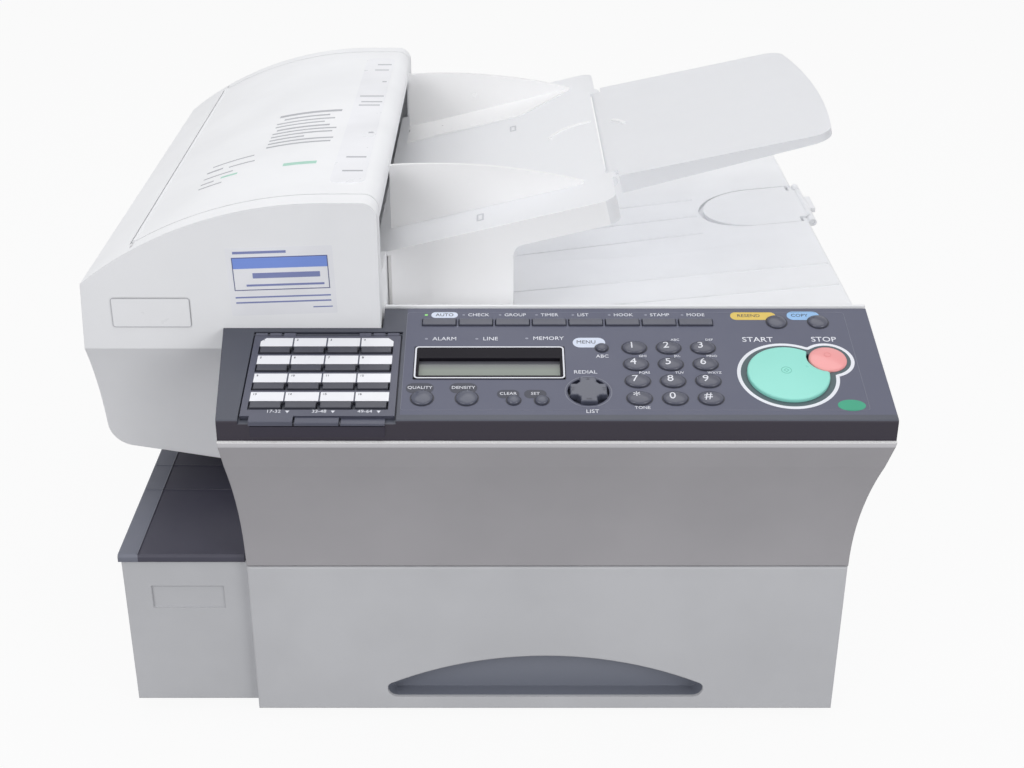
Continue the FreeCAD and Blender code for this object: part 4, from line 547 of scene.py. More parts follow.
for name, sheet, layers, up, material in (
        ("tower_label", flat_plate(*LABEL_SIZE, LABEL_CORNER), 1, 0, LABEL_WHITE),
        ("label_band", flat_plate(*BAND_SIZE), 2, BAND_UP, LABEL_BLUE),
        ("label_frame", ring_of(flat_plate(*LABEL_FRAME), LABEL_LINE), 3, LABEL_FRAME_UP, INK_NAVY)):
    single(name, thicken(sheet, 0, layers * PRINT), on_label(0, up), material, "machine")
label_bars = bmesh.new()
for across, up, width, height in LABEL_TEXT:
    add(label_bars, thicken(flat_plate(width, height), 0, 2 * PRINT), on_label(across, up))
piece("label_bars", label_bars, INK_BLUE, "machine")

BADGE_SIZE = (45.0, 18.0)
BADGE_CORNER = 1.5
BADGE_RISE = 0.35
BADGE_LINE = 0.5
BADGE_PLACE = place_at(-225.5, TOWER_FACE, 233.6) @ UPRIGHT
BADGE_WHITE = moulded("badge_white", paint(246, 247, 250), paint(242, 243, 246), rough=0.3)
BADGE_EDGE_SHADE = moulded("badge_edge_shade", paint(206, 207, 212), paint(200, 201, 206), rough=0.3)
badge = thicken(flat_plate(*BADGE_SIZE, BADGE_CORNER), -BADGE_RISE, BADGE_RISE)
single("badge_plate", badge, BADGE_PLACE, BADGE_WHITE, "machine")
# A grey ring round the badge's edge is painted shade along the edge of the plate.
badge_shaded_rim = thicken(ring_of(flat_plate(*BADGE_SIZE, BADGE_CORNER), BADGE_LINE), 0, BADGE_RISE + PRINT)
single("badge_shaded_rim", badge_shaded_rim, BADGE_PLACE, BADGE_EDGE_SHADE, "machine")

# Feed lid prints: plain bars of ink that wrap over the arch, two pale green ones beside them, and a smooth
# strip with ticks along the right edge.
CROWN_RADIUS = 225.0
CROWN_START = -125.0
CROWN_TOP = (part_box("adf_cover")[1].z - DRAWER_EDGE.z) / MM
INK_GREY = printed("ink_grey", paint(176, 177, 184))
INK_GREEN = printed("ink_green", paint(170, 216, 200))
STRIP_WHITE = printed("strip_white", paint(243, 244, 249), rough=0.3)
BAR_STEPS = 8
LID_TEXT = ((-172, -131, 243, 4.2), (-168, -138, 234, 3.0), (-172, -134, 226, 2.4), (-172, -140, 219, 2.4),
            (-170, -136, 211, 3.0), (-172, -131, 204, 2.4), (-172, -133, 197, 2.4), (-172, -150, 190, 2.4),
            (-172, -131, 183, 2.4), (-172, -132, 176, 2.4), (-204, -178, 166, 1.8), (-206, -196, 156, 2.6),
            (-192, -176, 154, 1.8), (-206, -188, 144, 1.8), (-206, -198, 134, 1.8), (-206, -192, 126, 1.8))
LID_DRAWING = ((-156, -136, 134, 5.0), (-194, -184, 136, 3.0))


def lid_bar(whole, left, right, back, depth):
    """A thin bar of ink that follows the arch of the lid between two places across."""
    bar = bmesh.new()
    bmesh.ops.create_grid(bar, x_segments=BAR_STEPS, y_segments=1, size=0.5)
    bmesh.ops.scale(bar, vec=(right - left, depth, 1), verts=bar.verts)
    bmesh.ops.translate(bar, vec=((left + right) / 2, back, 0), verts=bar.verts)
    for point in bar.verts:
        run = min(0.0, point.co.x - CROWN_START)
        point.co.z = CROWN_TOP - CROWN_RADIUS + math.sqrt(CROWN_RADIUS ** 2 - run ** 2)
    bmesh.ops.scale(bar, vec=(MM, MM, MM), verts=bar.verts)
    add(whole, thicken(bar, -PRINT, PRINT), Matrix.Translation(DRAWER_EDGE))


for name, bars, material in (("lid_text", LID_TEXT, INK_GREY), ("lid_drawing", LID_DRAWING, INK_GREEN)):
    lid_print = bmesh.new()
    for bar in bars:
        lid_bar(lid_print, *bar)
    piece(name, lid_print, material, "feed_cover")

STRIP_SIZE = (20.0, 284.0)
STRIP_CORNER = 6.0
STRIP_SPOT = (-114.6, 236.6)
STRIP_RISE = 4 * PRINT
TICK_DEPTH = 2.2
lid_strip = thicken(flat_plate(*STRIP_SIZE, STRIP_CORNER), -PRINT, STRIP_RISE)
single("lid_strip", lid_strip, place_at(*STRIP_SPOT, CROWN_TOP), STRIP_WHITE, "feed_cover")
lid_ticks = bmesh.new()
for across, back, width in ((-111, 360, 10), (-112, 345, 10), (-108, 313, 3), (-114, 276, 16), (-113, 262, 14),
                            (-114, 254, 14), (-108, 192, 3), (-113, 142, 12), (-113, 116, 12)):
    lid_bar(lid_ticks, across - width / 2, across + width / 2, back, TICK_DEPTH)
bmesh.ops.translate(lid_ticks, vec=(0, 0, STRIP_RISE * MM), verts=lid_ticks.verts)
piece("lid_ticks", lid_ticks, INK_GREY, "feed_cover")

# Document tray, its folding end and the two sheet guides: frosted clear styrene, milky in the thickness,
# held in the tower's side. Moulded marks show where the guides clip in, and a curved ridge helps a thumb.
LIGHT_LET_THROUGH = 0.9
FROSTED_BEND = 1.3


def frosted_plastic(name, colour, clear, rough):
    """A translucent moulding that shows only a blur of what is behind it and lets part of the light through."""
    material = moulded(name, colour, colour, rough=rough, spread=0.12, grain=0.15, edge=0)
    tree = material.node_tree
    shader = tree.nodes["Principled BSDF"]
    shader.inputs["Transmission Weight"].default_value = clear
    shader.inputs["IOR"].default_value = FROSTED_BEND
    shadow = tree.nodes.new("ShaderNodeLightPath").outputs["Is Shadow Ray"]
    open_way = tree.nodes.new("ShaderNodeBsdfTransparent")
    lit_share = calculate(tree, "MULTIPLY", shadow, LIGHT_LET_THROUGH)
    mix_shaders(tree, lit_share, shader.outputs["BSDF"], open_way.outputs["BSDF"])
    return material


FROSTED = frosted_plastic("frosted", paint(238, 239, 242), 0.15, 0.35)
# The folding end uses a darker copy of the frosted plastic: painted shade.
FROSTED_END_SHADED = frosted_plastic("frosted_end_shaded", paint(233, 234, 237), 0.25, 0.38)
# The clip marks use a darker copy of the frosted plastic: painted shade along their relief.
FROSTED_MARK_SHADE = frosted_plastic("frosted_mark_shade", paint(206, 207, 212), 0.2, 0.4)
# The guides and the thumb ridge use a lighter copy of the frosted plastic: painted light, with a painted
# highlight on the ridge.
FROSTED_LIT = frosted_plastic("frosted_lit", paint(246, 246, 247), 0.2, 0.3)
LIT_TRAY_SKIRT = 0.6 * MM
tray_low, tray_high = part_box("document_tray")
# The front skirt of the tray is painted near white: painted light on its front face.
inlaid(FROSTED, tray_low - MARGIN, (tray_high.x + MM, tray_low.y + LIT_TRAY_SKIRT, tray_high.z + MM),
       paint(253, 253, 254))
finish(FROSTED, "document_tray")
finish(FROSTED_LIT, "document_guide_front", "document_guide_rear")
finish(FROSTED_END_SHADED, "tray_extension")


def on_sheet(skin, across, back):
    """A place on a sheet that slopes, facing out of it, in millimetres from the drawer's lower front edge."""
    above = DRAWER_EDGE + Vector((across * MM, back * MM, SKY_HEIGHT))
    spot, normal = skin.ray_cast(above, DOWN)[:2]
    return Matrix.Translation(spot) @ (-DOWN).rotation_difference(normal).to_matrix().to_4x4()


CLIP_SPOTS = ((-39, 134), (-18, 301))
CLIP_SIZE = (4.5, 11.0)
CLIP_CORNER = 0.8
CLIP_LINE = 1.1
CLIP_RISE = 0.3
RIDGE_MIDDLE = Vector((30.5, 248.5))
RIDGE_RADIUS = 26.3
RIDGE_WIDTH = 2.2
RIDGE_RISE = 0.8
RIDGE_STEPS = 24
tray_clips = bmesh.new()
tray_skin = skin_of("document_tray")
for spot in CLIP_SPOTS:
    clip = ring_of(flat_plate(*CLIP_SIZE, CLIP_CORNER), CLIP_LINE)
    add(tray_clips, thicken(clip, -CLIP_RISE, CLIP_RISE), on_sheet(tray_skin, *spot))
piece("tray_clips", tray_clips, FROSTED_MARK_SHADE, "machine")
for name, sheet, body, spot, start, sweep in (
        ("thumb_ridge", "document_tray", "machine", (20, 264), 80, 79),
        ("thumb_ridge_end", "tray_extension", "tray_extension", (52, 264), 14, 32)):
    arc = bmesh.new()
    ends = [arc.verts.new(((RIDGE_RADIUS + side * RIDGE_WIDTH / 2) * MM, 0, 0)) for side in (-1, 1)]
    line = arc.edges.new(ends)
    bmesh.ops.rotate(arc, cent=(0, 0, 0), matrix=Matrix.Rotation(math.radians(start), 3, "Z"), verts=ends)
    bmesh.ops.spin(arc, geom=[*ends, line], cent=(0, 0, 0), axis=(0, 0, 1), angle=math.radians(sweep),
                   steps=RIDGE_STEPS)
    bmesh.ops.translate(arc, vec=(*((RIDGE_MIDDLE - Vector(spot)) * MM), 0), verts=arc.verts)
    ridge = thicken(arc, -RIDGE_RISE, RIDGE_RISE)
    single(name, ridge, on_sheet(skin_of(sheet), *spot), FROSTED_LIT, body)

# Control panel: a slate console moulding over the front of the body, with a printed overlay. Its outlines,
# pills and legends are screen-printed in white, yellow and blue.
PANEL_SLATE = moulded("panel_slate", paint(74, 77, 89), paint(70, 73, 85), rough=0.42, edge=0.8)
finish(PANEL_SLATE, "control_panel")
PANEL_TILT = math.radians(14)
PANEL_LENGTH = 93 * MM
PANEL_NOSE = 4.64 * MM
panel_low, panel_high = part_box("control_panel")
PANEL_EDGE = Vector((DRAWER_EDGE.x, panel_low.y + PANEL_NOSE * math.cos(PANEL_TILT),
                     panel_high.z - PANEL_LENGTH * math.sin(PANEL_TILT)))
PANEL = Matrix.Translation(PANEL_EDGE) @ Matrix.Rotation(PANEL_TILT, 4, "X")
FILM_LEFT = -80.5 * MM
SHADED_FACE_DEPTH = 0.3 * MM
inlaid(PANEL_SLATE, (PANEL_EDGE.x + FILM_LEFT, PANEL_EDGE.y, panel_low.z), panel_high + MARGIN,
       paint(82, 85, 105))
# The console's front face is painted far darker than the slate moulding: painted shade.
inlaid(PANEL_SLATE, panel_low - MARGIN, (panel_high.x + MM, panel_low.y + SHADED_FACE_DEPTH, panel_high.z),
       paint(38, 32, 46))
INK_WHITE = printed("ink_white", paint(232, 234, 242))
INK_YELLOW = printed("ink_yellow", paint(226, 196, 96))
INK_SKY = printed("ink_sky", paint(150, 192, 236))
INK_PALE = printed("ink_pale", paint(216, 224, 242))
INK_DARK = printed("ink_dark", paint(54, 56, 70))
INK_LEAF = printed("ink_leaf", paint(52, 162, 128))
INK_LINE = printed("ink_line", paint(112, 114, 130))
LETTER_SHARE = 0.7
PILL_ROUND = 0.49
PILL_STEPS = 10


def on_panel(across, up):
    """A place on the console's slope, in millimetres from the middle of the line where it starts to rise."""
    return PANEL @ Matrix.Translation((across * MM, up * MM, 0))


def flat_disc(half_across, half_up, segments=48):
    """A flat oval sheet, centred on the origin, with its sizes in millimetres."""
    shape = bmesh.new()
    bmesh.ops.create_circle(shape, cap_ends=True, segments=segments, radius=1)
    bmesh.ops.scale(shape, vec=(half_across * MM, half_up * MM, 1), verts=shape.verts)
    return shape


def lettering(words, height, align="CENTER"):
    """Letters as thin plates, with capitals of a given height in millimetres."""
    curve = bpy.data.curves.new("words", "FONT")
    curve.body = words
    curve.size = height * MM / LETTER_SHARE
    curve.align_x = align
    curve.align_y = "CENTER"
    curve.extrude = PRINT * MM
    curve.resolution_u = 3
    holder = bpy.data.objects.new("words", curve)
    mesh = bpy.data.meshes.new_from_object(holder)
    shape = bmesh.new()
    shape.from_mesh(mesh)
    bmesh.ops.translate(shape, vec=(0, 0, PRINT * MM), verts=shape.verts)
    bpy.data.objects.remove(holder)
    bpy.data.meshes.remove(mesh)
    bpy.data.curves.remove(curve)
    return shape


def panel_print(name, sheet, spot, material, layers=1):
    """A flat sheet of ink on the console."""
    single(name, thicken(sheet, 0, layers * PRINT), on_panel(*spot), material, "machine")


for name, material, spans in (
        ("pill_yellow", INK_YELLOW, ((105.7, 131.9, 82.3, 89.5),)),
        ("pill_sky", INK_SKY, ((138.3, 157.0, 82.3, 90.1),)),
        ("pill_pale", INK_PALE, ((14.0, 32.3, 57.1, 65.8), (-66.7, -51.4, 84.2, 89.6))),
        ("pill_dark", INK_DARK, ((-78.3, -63.1, 17.6, 26.1), (-54.6, -39.4, 17.6, 26.1),
                                 (-28.7, -16.5, 13.4, 20.4), (-14.0, -1.8, 13.4, 20.4)))):
    pills = bmesh.new()
    for left, right, low, high in spans:
        pill = flat_plate(right - left, high - low, (high - low) * PILL_ROUND, PILL_STEPS)
        add(pills, thicken(pill, 0, PRINT), on_panel((left + right) / 2, (low + high) / 2))
    piece(name, pills, material, "machine")

START_SPOT = (131.5, 32.6)
STOP_SPOT = (155.3, 45.9)
START_RING = 28.0
STOP_RING = 14.8
RING_LINE = 2.0
KEY_GAP = 3.3
OUTLINE_SIDES = 180
start_to_stop = Vector((STOP_SPOT[0] - START_SPOT[0], STOP_SPOT[1] - START_SPOT[1], 0))


def crossing(ray, radius, side, missed):
    """How far out a ray from the start key crosses a circle round the stop key, on its near or far side."""
    along = ray.dot(start_to_stop)
    inside = radius ** 2 - (start_to_stop.length_squared - along ** 2)
    return along + side * math.sqrt(inside) if inside > 0 and along > 0 else missed


def sheet_round_start(reach):
    """A flat sheet round the middle of the start key that goes out as far as a rule says."""
    shape = flat_disc(1, 1, OUTLINE_SIDES)
    for point in shape.verts:
        ray = point.co.normalized()
        point.co = ray * reach(ray) * MM
    return shape


def key_pair_sheet(shrink):
    """A flat sheet with the outline of the two round keys together, drawn in by a given distance."""
    return sheet_round_start(lambda ray: max(START_RING - shrink, crossing(ray, STOP_RING - shrink, 1, 0)))


panel_print("start_stop_outline", ring_of(key_pair_sheet(0), RING_LINE), START_SPOT, INK_WHITE)
panel_print("start_stop_gap", ring_of(key_pair_sheet(RING_LINE), KEY_GAP), START_SPOT,
            printed("gap_teal", paint(70, 88, 94)))
OVAL_HALF = (7.5, 4.6)
OVAL_SPOT = (162, 7.6)
panel_print("green_oval", flat_disc(*OVAL_HALF), OVAL_SPOT, INK_LEAF)
OVERLAY_SIZE = (252, 86)
OVERLAY_CORNER = 2
OVERLAY_SPOT = (45.5, 46.5)
OVERLAY_LINE = 0.3
overlay = flat_plate(*OVERLAY_SIZE, OVERLAY_CORNER)
panel_print("overlay_line", ring_of(overlay, OVERLAY_LINE), OVERLAY_SPOT, INK_LINE)

FUNCTION_START = -71.4
FUNCTION_PITCH = 21.0
FUNCTION_UP = 86.9
FUNCTION_HEIGHT = 2.6
FUNCTION_INDENT = 4.8
FUNCTION_LIGHT = 2.4
FUNCTION_WORDS = ("CHECK", "GROUP", "TIMER", "LIST", "HOOK", "STAMP", "MODE")
SMALL_LIGHT = (0.8, 0.6)
STATE_WORDS = ((-68.7, 64.8, "ALARM"), (-40.2, 64.8, "LINE"), (-11.9, 65.2, "MEMORY"))
STATE_HEIGHT = 3.0
STATE_INDENT = 3.4
STATE_LIGHT = (0.9, 0.7)
LIGHT_SIDES = 16
legends = bmesh.new()
lights = bmesh.new()
for step, words in enumerate(FUNCTION_WORDS, 1):
    left = FUNCTION_START + step * FUNCTION_PITCH
    add(legends, lettering(words, FUNCTION_HEIGHT, "LEFT"), on_panel(left + FUNCTION_INDENT, FUNCTION_UP))
    light = thicken(flat_disc(*SMALL_LIGHT, LIGHT_SIDES), 0, 2 * PRINT)
    add(lights, light, on_panel(left + FUNCTION_LIGHT, FUNCTION_UP))
for across, up, words in STATE_WORDS:
    add(legends, lettering(words, STATE_HEIGHT, "LEFT"), on_panel(across + STATE_INDENT, up))
    add(lights, thicken(flat_disc(*STATE_LIGHT, LIGHT_SIDES), 0, 2 * PRINT), on_panel(across, up))
for words, height, across, up in (
        ("QUALITY", 2.3, -70.7, 22.2), ("DENSITY", 2.3, -47.0, 22.2), ("CLEAR", 2.2, -22.6, 17.2),
        ("SET", 2.2, -7.9, 17.2), ("REDIAL", 2.8, 20.0, 35.4), ("LIST", 2.8, 22.5, 2.6),
        ("ABC", 2.6, 30.1, 49.2), ("TONE", 2.2, 49.5, 5.6), ("START", 4.2, 118.6, 64.0),
        ("STOP", 4.2, 156.0, 64.2)):
    add(legends, lettering(words, height), on_panel(across, up))
dark_legends = bmesh.new()
for words, height, across, up in (("AUTO", 2.6, -59.0, 86.9), ("MENU", 2.8, 21.5, 61.8),
                                  ("RESEND", 2.6, 116.2, 86.1), ("COPY", 2.6, 145.6, 86.4)):
    add(dark_legends, lettering(words, height), on_panel(across, up))

# Keys: glossy slate domes of two-shot plastic that stand through the console on a rubber sheet. The digits
# and letters are moulded in white. The start key is a wide mint disc, and the stop key a coral dome beside it.
KEY_SLATE = moulded("key_slate", paint(82, 84, 99), paint(76, 78, 93), rough=0.2, spread=0.15, grain=0.05,
                    edge=0.4)
KEY_DARK = moulded("key_dark", paint(74, 75, 85), paint(70, 71, 81), rough=0.35, spread=0.15, grain=0.05,
                   edge=0.4)
KEY_MINT = moulded("key_mint", paint(148, 225, 212), paint(142, 220, 206), rough=0.3, grain=0.04, edge=0.8)
KEY_CORAL = moulded("key_coral", paint(240, 160, 160), paint(235, 152, 152), rough=0.14, grain=0.04, edge=0.4)
KEY_PALE = moulded("key_pale", paint(84, 87, 103), paint(79, 82, 97), rough=0.2, spread=0.15, grain=0.05,
                   edge=0.4)
KEY_BAR = moulded("key_bar", paint(82, 84, 97), paint(77, 79, 92), rough=0.32, spread=0.15, grain=0.05,
                  edge=0.4)
finish(KEY_DARK, "one_touch_keys")
finish(KEY_BAR, "function_keys")
finish(KEY_PALE, "navigation_pad")
KEY_RIM = 0.5
KEY_CROWN = 1.7
KEY_ROOT = -2.4
DOME_STEPS = 8
DOME_SIDES = 40
GAP_LINE = 0.7


def dome(half_across, half_up):
    """A key cap: an oval rim that rises to a rounded crown, with its sizes in millimetres."""
    shape = bmesh.new()
    points = [shape.verts.new((1, 0, KEY_ROOT * MM))]
    for step in range(DOME_STEPS + 1):
        turn = math.pi / 2 * step / DOME_STEPS
        points.append(shape.verts.new((math.cos(turn), 0, (KEY_RIM + KEY_CROWN * math.sin(turn)) * MM)))
    edges = [shape.edges.new(pair) for pair in zip(points, points[1:])]
    bmesh.ops.spin(shape, geom=points + edges, cent=(0, 0, 0), axis=(0, 0, 1), angle=2 * math.pi,
                   steps=DOME_SIDES, use_merge=True)
    bmesh.ops.remove_doubles(shape, verts=shape.verts, dist=1e-6)
    bmesh.ops.scale(shape, vec=(half_across * MM, half_up * MM, 1), verts=shape.verts)
    return shape


def lie_on_dome(shape, half_across, half_up):
    """Lifts a thin shape on to the crown of a key."""
    for point in shape.verts:
        out = (point.co.x / half_across / MM) ** 2 + (point.co.y / half_up / MM) ** 2
        point.co.z += (KEY_RIM + KEY_CROWN * math.sqrt(max(0.0, 1 - out))) * MM


def gap_and_shadow_ring(whole, half_across, half_up, across, up):
    """A dark ring for the gap between a key and the edge of its hole, and the painted shadow that falls in it.
    """
    shape = ring_of(flat_disc(half_across + GAP_LINE, half_up + GAP_LINE), GAP_LINE)
    add(whole, thicken(shape, 0, 2 * PRINT), on_panel(across, up))


gap_shadow_rings = bmesh.new()
KEYPAD_START = (48.4, 56.7)
KEYPAD_PITCH = (19.3, 14.5)
KEYPAD_COLUMNS = 3
KEY_HALF = (6.7, 5.4)
KEYPAD = (("1", "1", ""), ("2", "2", "ABC"), ("3", "3", "DEF"), ("4", "4", "GHI"), ("5", "5", "JKL"),
          ("6", "6", "MNO"), ("7", "7", "PQRS"), ("8", "8", "TUV"), ("9", "9", "WXYZ"), ("star", "*", ""),
          ("0", "0", ""), ("hash", "#", ""))
DIGIT_HEIGHT = 5.2
STAR_HEIGHT = 6.5
DIGIT_LEFT = -1.6 * MM
LETTERS_HEIGHT = 1.8
LETTERS_SHIFT = (4.2, 7.2)
for place, (name, sign, letters) in enumerate(KEYPAD):
    across = KEYPAD_START[0] + place % KEYPAD_COLUMNS * KEYPAD_PITCH[0]
    up = KEYPAD_START[1] - place // KEYPAD_COLUMNS * KEYPAD_PITCH[1]
    key = "key_" + name
    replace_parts(single(key + "_cap", dome(*KEY_HALF), on_panel(across, up), KEY_SLATE, key), key)
    digit = lettering(sign, STAR_HEIGHT if sign == "*" else DIGIT_HEIGHT)
    bmesh.ops.triangulate(digit, faces=digit.faces)
    bmesh.ops.subdivide_edges(digit, edges=digit.edges, cuts=3, use_grid_fill=True)
    bmesh.ops.translate(digit, vec=(DIGIT_LEFT, 0, 0), verts=digit.verts)
    lie_on_dome(digit, *KEY_HALF)
    single(key + "_sign", digit, on_panel(across, up), INK_WHITE, key)
    gap_and_shadow_ring(gap_shadow_rings, *KEY_HALF, across, up)
    if letters:
        above = on_panel(across + LETTERS_SHIFT[0], up + LETTERS_SHIFT[1])
        add(legends, lettering(letters, LETTERS_HEIGHT), above)

STOP_HALF = (10.6, 10.6)
stop_dome = single("stop_cap", dome(*STOP_HALF), on_panel(*STOP_SPOT), KEY_CORAL, "stop_key")
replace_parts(stop_dome, "stop_key")
for name, across, up, radius, material in (
        ("resend", 131.6, 80.2, 5.6, KEY_SLATE), ("copy", 155.4, 80.2, 5.6, KEY_SLATE),
        ("clear", -19.7, 11.6, 3.6, KEY_PALE), ("enter", -4.5, 11.6, 3.6, KEY_PALE),
        ("menu", 30.1, 56.5, 3.4, KEY_SLATE), ("quality", -69.2, 13.4, 5.9, KEY_PALE),
        ("contrast", -45.0, 13.4, 5.9, KEY_PALE)):
    key = name + "_key"
    cap = single(name + "_cap", dome(radius, radius), on_panel(across, up), material, key)
    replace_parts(cap, key)
    gap_and_shadow_ring(gap_shadow_rings, radius, radius, across, up)
# The rings round the keys are partly the dark gap and partly painted shadow of the keys.
piece("key_gaps_and_shadow", gap_shadow_rings, printed("gap_shadow", paint(36, 37, 50)), "machine")

REACH_OUT = 20 * MM


def standing_on(skin, across, up):
    """A place on the face of a key that stands out of the console."""
    away = PANEL.to_3x3() @ Vector((0, 0, 1))
    spot = skin.ray_cast(on_panel(across, up).translation + away * REACH_OUT, -away)[0]
    return Matrix.Translation(spot) @ PANEL.to_3x3().to_4x4()


START_KEY = 22.6
START_BITE = 12.0
START_EDGE = 0.9
START_MARK_SHIFT = (-1, 2)
START_MARK = ((2.9, 48), (1.6, 4))
START_MARK_LINE = 0.4
start_face = standing_on(skin_of("start_key"), START_SPOT[0] + START_MARK_SHIFT[0],
                         START_SPOT[1] + START_MARK_SHIFT[1])
start_top = (PANEL.inverted() @ start_face.translation).z
start_cap = sheet_round_start(lambda ray: min(START_KEY, crossing(ray, START_BITE, -1, START_KEY)))
thicken(start_cap, KEY_ROOT, start_top / MM)
brink = [edge for edge in start_cap.edges if min(end.co.z for end in edge.verts) > start_top - PRINT * MM]
bmesh.ops.bevel(start_cap, geom=brink, offset=START_EDGE * MM, segments=4, profile=0.5, affect="EDGES",
                material=-1)
start_disc = single("start_cap", start_cap, on_panel(*START_SPOT), KEY_MINT, "start_key")
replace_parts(start_disc, "start_key")
start_mark = bmesh.new()
for radius, sides in START_MARK:
    sign = ring_of(flat_disc(radius, radius, sides), START_MARK_LINE)
    add(start_mark, thicken(sign, -PRINT, PRINT), start_face)
piece("start_mark", start_mark, printed("ink_mint", paint(112, 194, 178)), "start_key")
STOP_MARK = (2.0, 2.0)
STOP_MARK_LINE = 0.45
STOP_MARK_UP = 2.2 * MM
stop_mark = ring_of(flat_disc(*STOP_MARK), STOP_MARK_LINE)
bmesh.ops.translate(stop_mark, vec=(0, STOP_MARK_UP, 0), verts=stop_mark.verts)
lie_on_dome(stop_mark, *STOP_HALF)
single("stop_mark", thicken(stop_mark, -PRINT, PRINT), on_panel(*STOP_SPOT),
       printed("ink_coral", paint(222, 138, 138)), "stop_key")

PAD_SPOT = (21.0, 18.9)
PAD_RING = (12.9, 12.9)
PAD_RING_LINE = 0.5
PAD_TICKS = ((0.0, -8.4, 2.8, 0.7), (-8.4, 0.7, 1.9, 0.55), (-8.4, -0.9, 1.3, 0.55), (8.4, 0.7, 1.9, 0.55),
             (8.4, -0.9, 1.3, 0.55))
PAD_POINTER = (1.1, 1.1)
PAD_POINTER_UP = 8.2
TRIANGLE = 3
panel_print("pad_ring", ring_of(flat_disc(*PAD_RING), PAD_RING_LINE), PAD_SPOT,
            printed("ring_grey", paint(124, 126, 140)))
pad_ticks = bmesh.new()
pad_skin = skin_of("navigation_pad")
for across, up, width, height in PAD_TICKS:
    add(pad_ticks, thicken(flat_plate(width, height), -PRINT, PRINT),
        standing_on(pad_skin, PAD_SPOT[0] + across, PAD_SPOT[1] + up))
add(pad_ticks, thicken(flat_disc(*PAD_POINTER, TRIANGLE), -PRINT, PRINT),
    standing_on(pad_skin, PAD_SPOT[0], PAD_SPOT[1] + PAD_POINTER_UP))
piece("pad_ticks", pad_ticks, INK_DARK, "navigation_pad")

LIT_LAMP_SPOT = (-69.6, 86.9)
LIT_LAMP = (1.0, 0.8)
panel_print("lit_lamp", flat_disc(*LIT_LAMP, LIGHT_SIDES), LIT_LAMP_SPOT,
            printed("lamp_green", paint(150, 226, 130)), 2)
piece("panel_legends", legends, INK_WHITE, "machine")
piece("panel_dark_legends", dark_legends, INK_DARK, "machine")
piece("panel_lights", lights, printed("lamp_grey", paint(150, 152, 168)), "machine")

# Display: a black surround with a white printed outline, set into the console, and a grey-green liquid
# crystal glass below it, painted darker towards its rear edge as painted shade from the surround.
WINDOW_LEFT, WINDOW_RIGHT = -74.5, 8.7
WINDOW_FRONT, WINDOW_REAR = 29.6, 57.4
WINDOW_ROOT, WINDOW_RISE = -2.4, 0.5
WINDOW_CORNER = 2.2
WINDOW_LINE = 0.9
GLASS_REAR = 47.0
GLASS_ROOT, GLASS_TOP = -2.3, -1.8
BEZEL = 2.4
window_spot = ((WINDOW_LEFT + WINDOW_RIGHT) / 2, (WINDOW_FRONT + WINDOW_REAR) / 2)
window_size = (WINDOW_RIGHT - WINDOW_LEFT, WINDOW_REAR - WINDOW_FRONT)
surround = ring_of(flat_plate(*window_size), BEZEL)
inner_rear = window_size[1] / 2 - BEZEL
for point in surround.verts:
    if abs(point.co.y - inner_rear * MM) < MM:
        point.co.y = (GLASS_REAR - window_spot[1]) * MM
BEZEL_BLACK = moulded("bezel_black", paint(30, 28, 35), paint(27, 25, 32),
                      rough=0.35, spread=0.08, grain=0.0, edge=0.3)
BEZEL_BLACK.node_tree.nodes["Principled BSDF"].inputs["Specular IOR Level"].default_value = 0.08
bezel = single("display_surround", thicken(surround, WINDOW_ROOT, WINDOW_RISE), on_panel(*window_spot),
               BEZEL_BLACK, "machine")
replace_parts(bezel, "display_window")
outline = ring_of(flat_plate(*window_size, WINDOW_CORNER), WINDOW_LINE)
single("display_outline", thicken(outline, WINDOW_RISE, WINDOW_RISE + PRINT), on_panel(*window_spot), INK_WHITE,
       "machine")
LCD_GREEN = moulded("lcd_green", paint(128, 136, 128), paint(124, 132, 124),
                    rough=0.2, spread=0.1, grain=0.0, edge=0)
LCD_SHADE = (39.4, 46.0)
lcd_tree = LCD_GREEN.node_tree
lcd_place = lcd_tree.nodes.new("ShaderNodeSeparateXYZ")
lcd_tree.links.new(lcd_tree.nodes.new("ShaderNodeTexCoord").outputs["Object"], lcd_place.inputs["Vector"])
shade_range = [on_panel(0, up).translation.y for up in LCD_SHADE]
overlaid(LCD_GREEN, ranged(lcd_tree, lcd_place.outputs["Y"], given=shade_range), paint(92, 92, 99))
glass = thicken(flat_plate(window_size[0] - BEZEL, GLASS_REAR - WINDOW_FRONT), GLASS_ROOT, GLASS_TOP)
single("display_glass", glass, on_panel(window_spot[0], (WINDOW_FRONT + GLASS_REAR) / 2), LCD_GREEN,
       "machine")
finish(LCD_GREEN, "display_module")

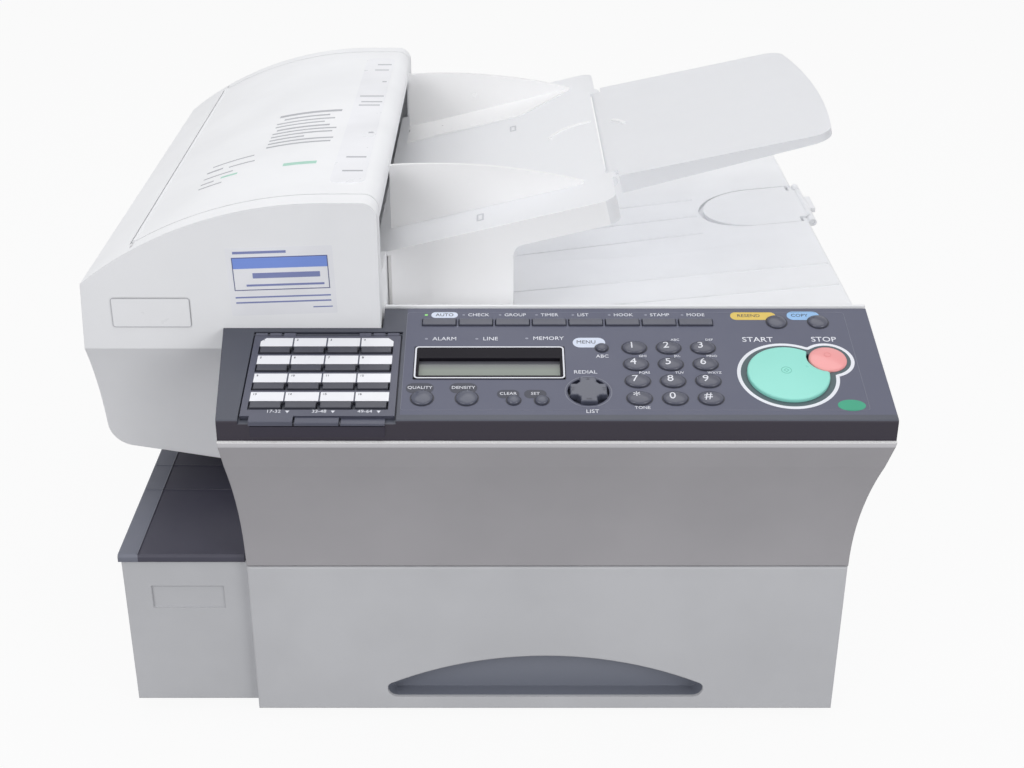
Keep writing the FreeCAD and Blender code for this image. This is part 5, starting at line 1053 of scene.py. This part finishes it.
# One-touch index: three slotted leaves of slate film on a rod over the keys. Each leaf, and the console under
# them, has its own rows of white paper labels with small numbers, and a clear lip below the tabs.
LEAF_SLATE = moulded("leaf_slate", paint(84, 86, 102), paint(78, 80, 96),
                     rough=0.35, spread=0.15, grain=0.05, edge=0.3)
finish(LEAF_SLATE, "flip_page_1", "flip_page_2", "flip_page_3")
LEAF_TOP = (-2.4, -1.6, -0.8, 0.0)
INDEX_SIDE = 4
INDEX_PITCH = (18.97, 15.67)
FIRST_LABEL = (-153.1, 61.8)
INDEX_LABEL = (18.1, 7.4)
LABEL_CHAMFER = 3.0
NUMBER_HEIGHT = 1.5
NUMBER_INSET = (1.2, 1.9)
last_leaf = len(LEAF_TOP) - 1
leaf_labels = INDEX_SIDE ** 2
for leaf, top in enumerate(LEAF_TOP):
    body = f"flip_page_{leaf}" if leaf else "machine"
    labels = bmesh.new()
    numbers = bmesh.new()
    for place in range(leaf_labels):
        column, row = place % INDEX_SIDE, place // INDEX_SIDE
        across = FIRST_LABEL[0] + column * INDEX_PITCH[0]
        up = FIRST_LABEL[1] - row * INDEX_PITCH[1]
        label = flat_plate(*INDEX_LABEL)
        if row == 0 and column in (0, INDEX_SIDE - 1):
            outer = [point for point in label.verts if point.co.y > 0 and (point.co.x < 0) == (column == 0)]
            bmesh.ops.bevel(label, geom=outer, offset=LABEL_CHAMFER * MM, segments=1, profile=0.5,
                            affect="VERTICES", material=-1)
        add(labels, thicken(label, top, top + PRINT), on_panel(across, up))
        number = lettering(str((last_leaf - leaf) * leaf_labels + place + 1), NUMBER_HEIGHT, "LEFT")
        bmesh.ops.translate(number, vec=(0, 0, (top + PRINT) * MM), verts=number.verts)
        add(numbers, number, on_panel(across - INDEX_LABEL[0] / 2 + NUMBER_INSET[0], up + NUMBER_INSET[1]))
    piece(f"index_labels_{leaf}", labels, LABEL_WHITE, body)
    piece(f"index_numbers_{leaf}", numbers, INK_DARK, body)
RANGE_UP = 2.6
RANGE_HEIGHT = 2.4
POINTER_SHIFT = 7.4
POINTER_HALF = (1.3, 1.3)
ranges = bmesh.new()
for words, across in (("17-32", -148.2), ("33-48", -123.8), ("49-64", -99.3)):
    add(ranges, lettering(words, RANGE_HEIGHT), on_panel(across, RANGE_UP))
    add(ranges, thicken(flat_disc(*POINTER_HALF, TRIANGLE), 0, PRINT),
        on_panel(across + POINTER_SHIFT, RANGE_UP) @ Matrix.Rotation(math.pi, 4, "Z"))
piece("index_ranges", ranges, INK_WHITE, "flip_page_3")
LIP_PLACE = place_at(-124.4, -17.5, 198.4) @ UPRIGHT
LIP_SIZE = (72.2, 6.3)
LIP_CORNER = 0.8
LIP_DEPTH = 0.9
single("index_lip", thicken(flat_plate(*LIP_SIZE, LIP_CORNER), 0, LIP_DEPTH), LIP_PLACE,
       frosted_plastic("lip_clear", paint(72, 68, 82), 0.3, 0.25), "machine")
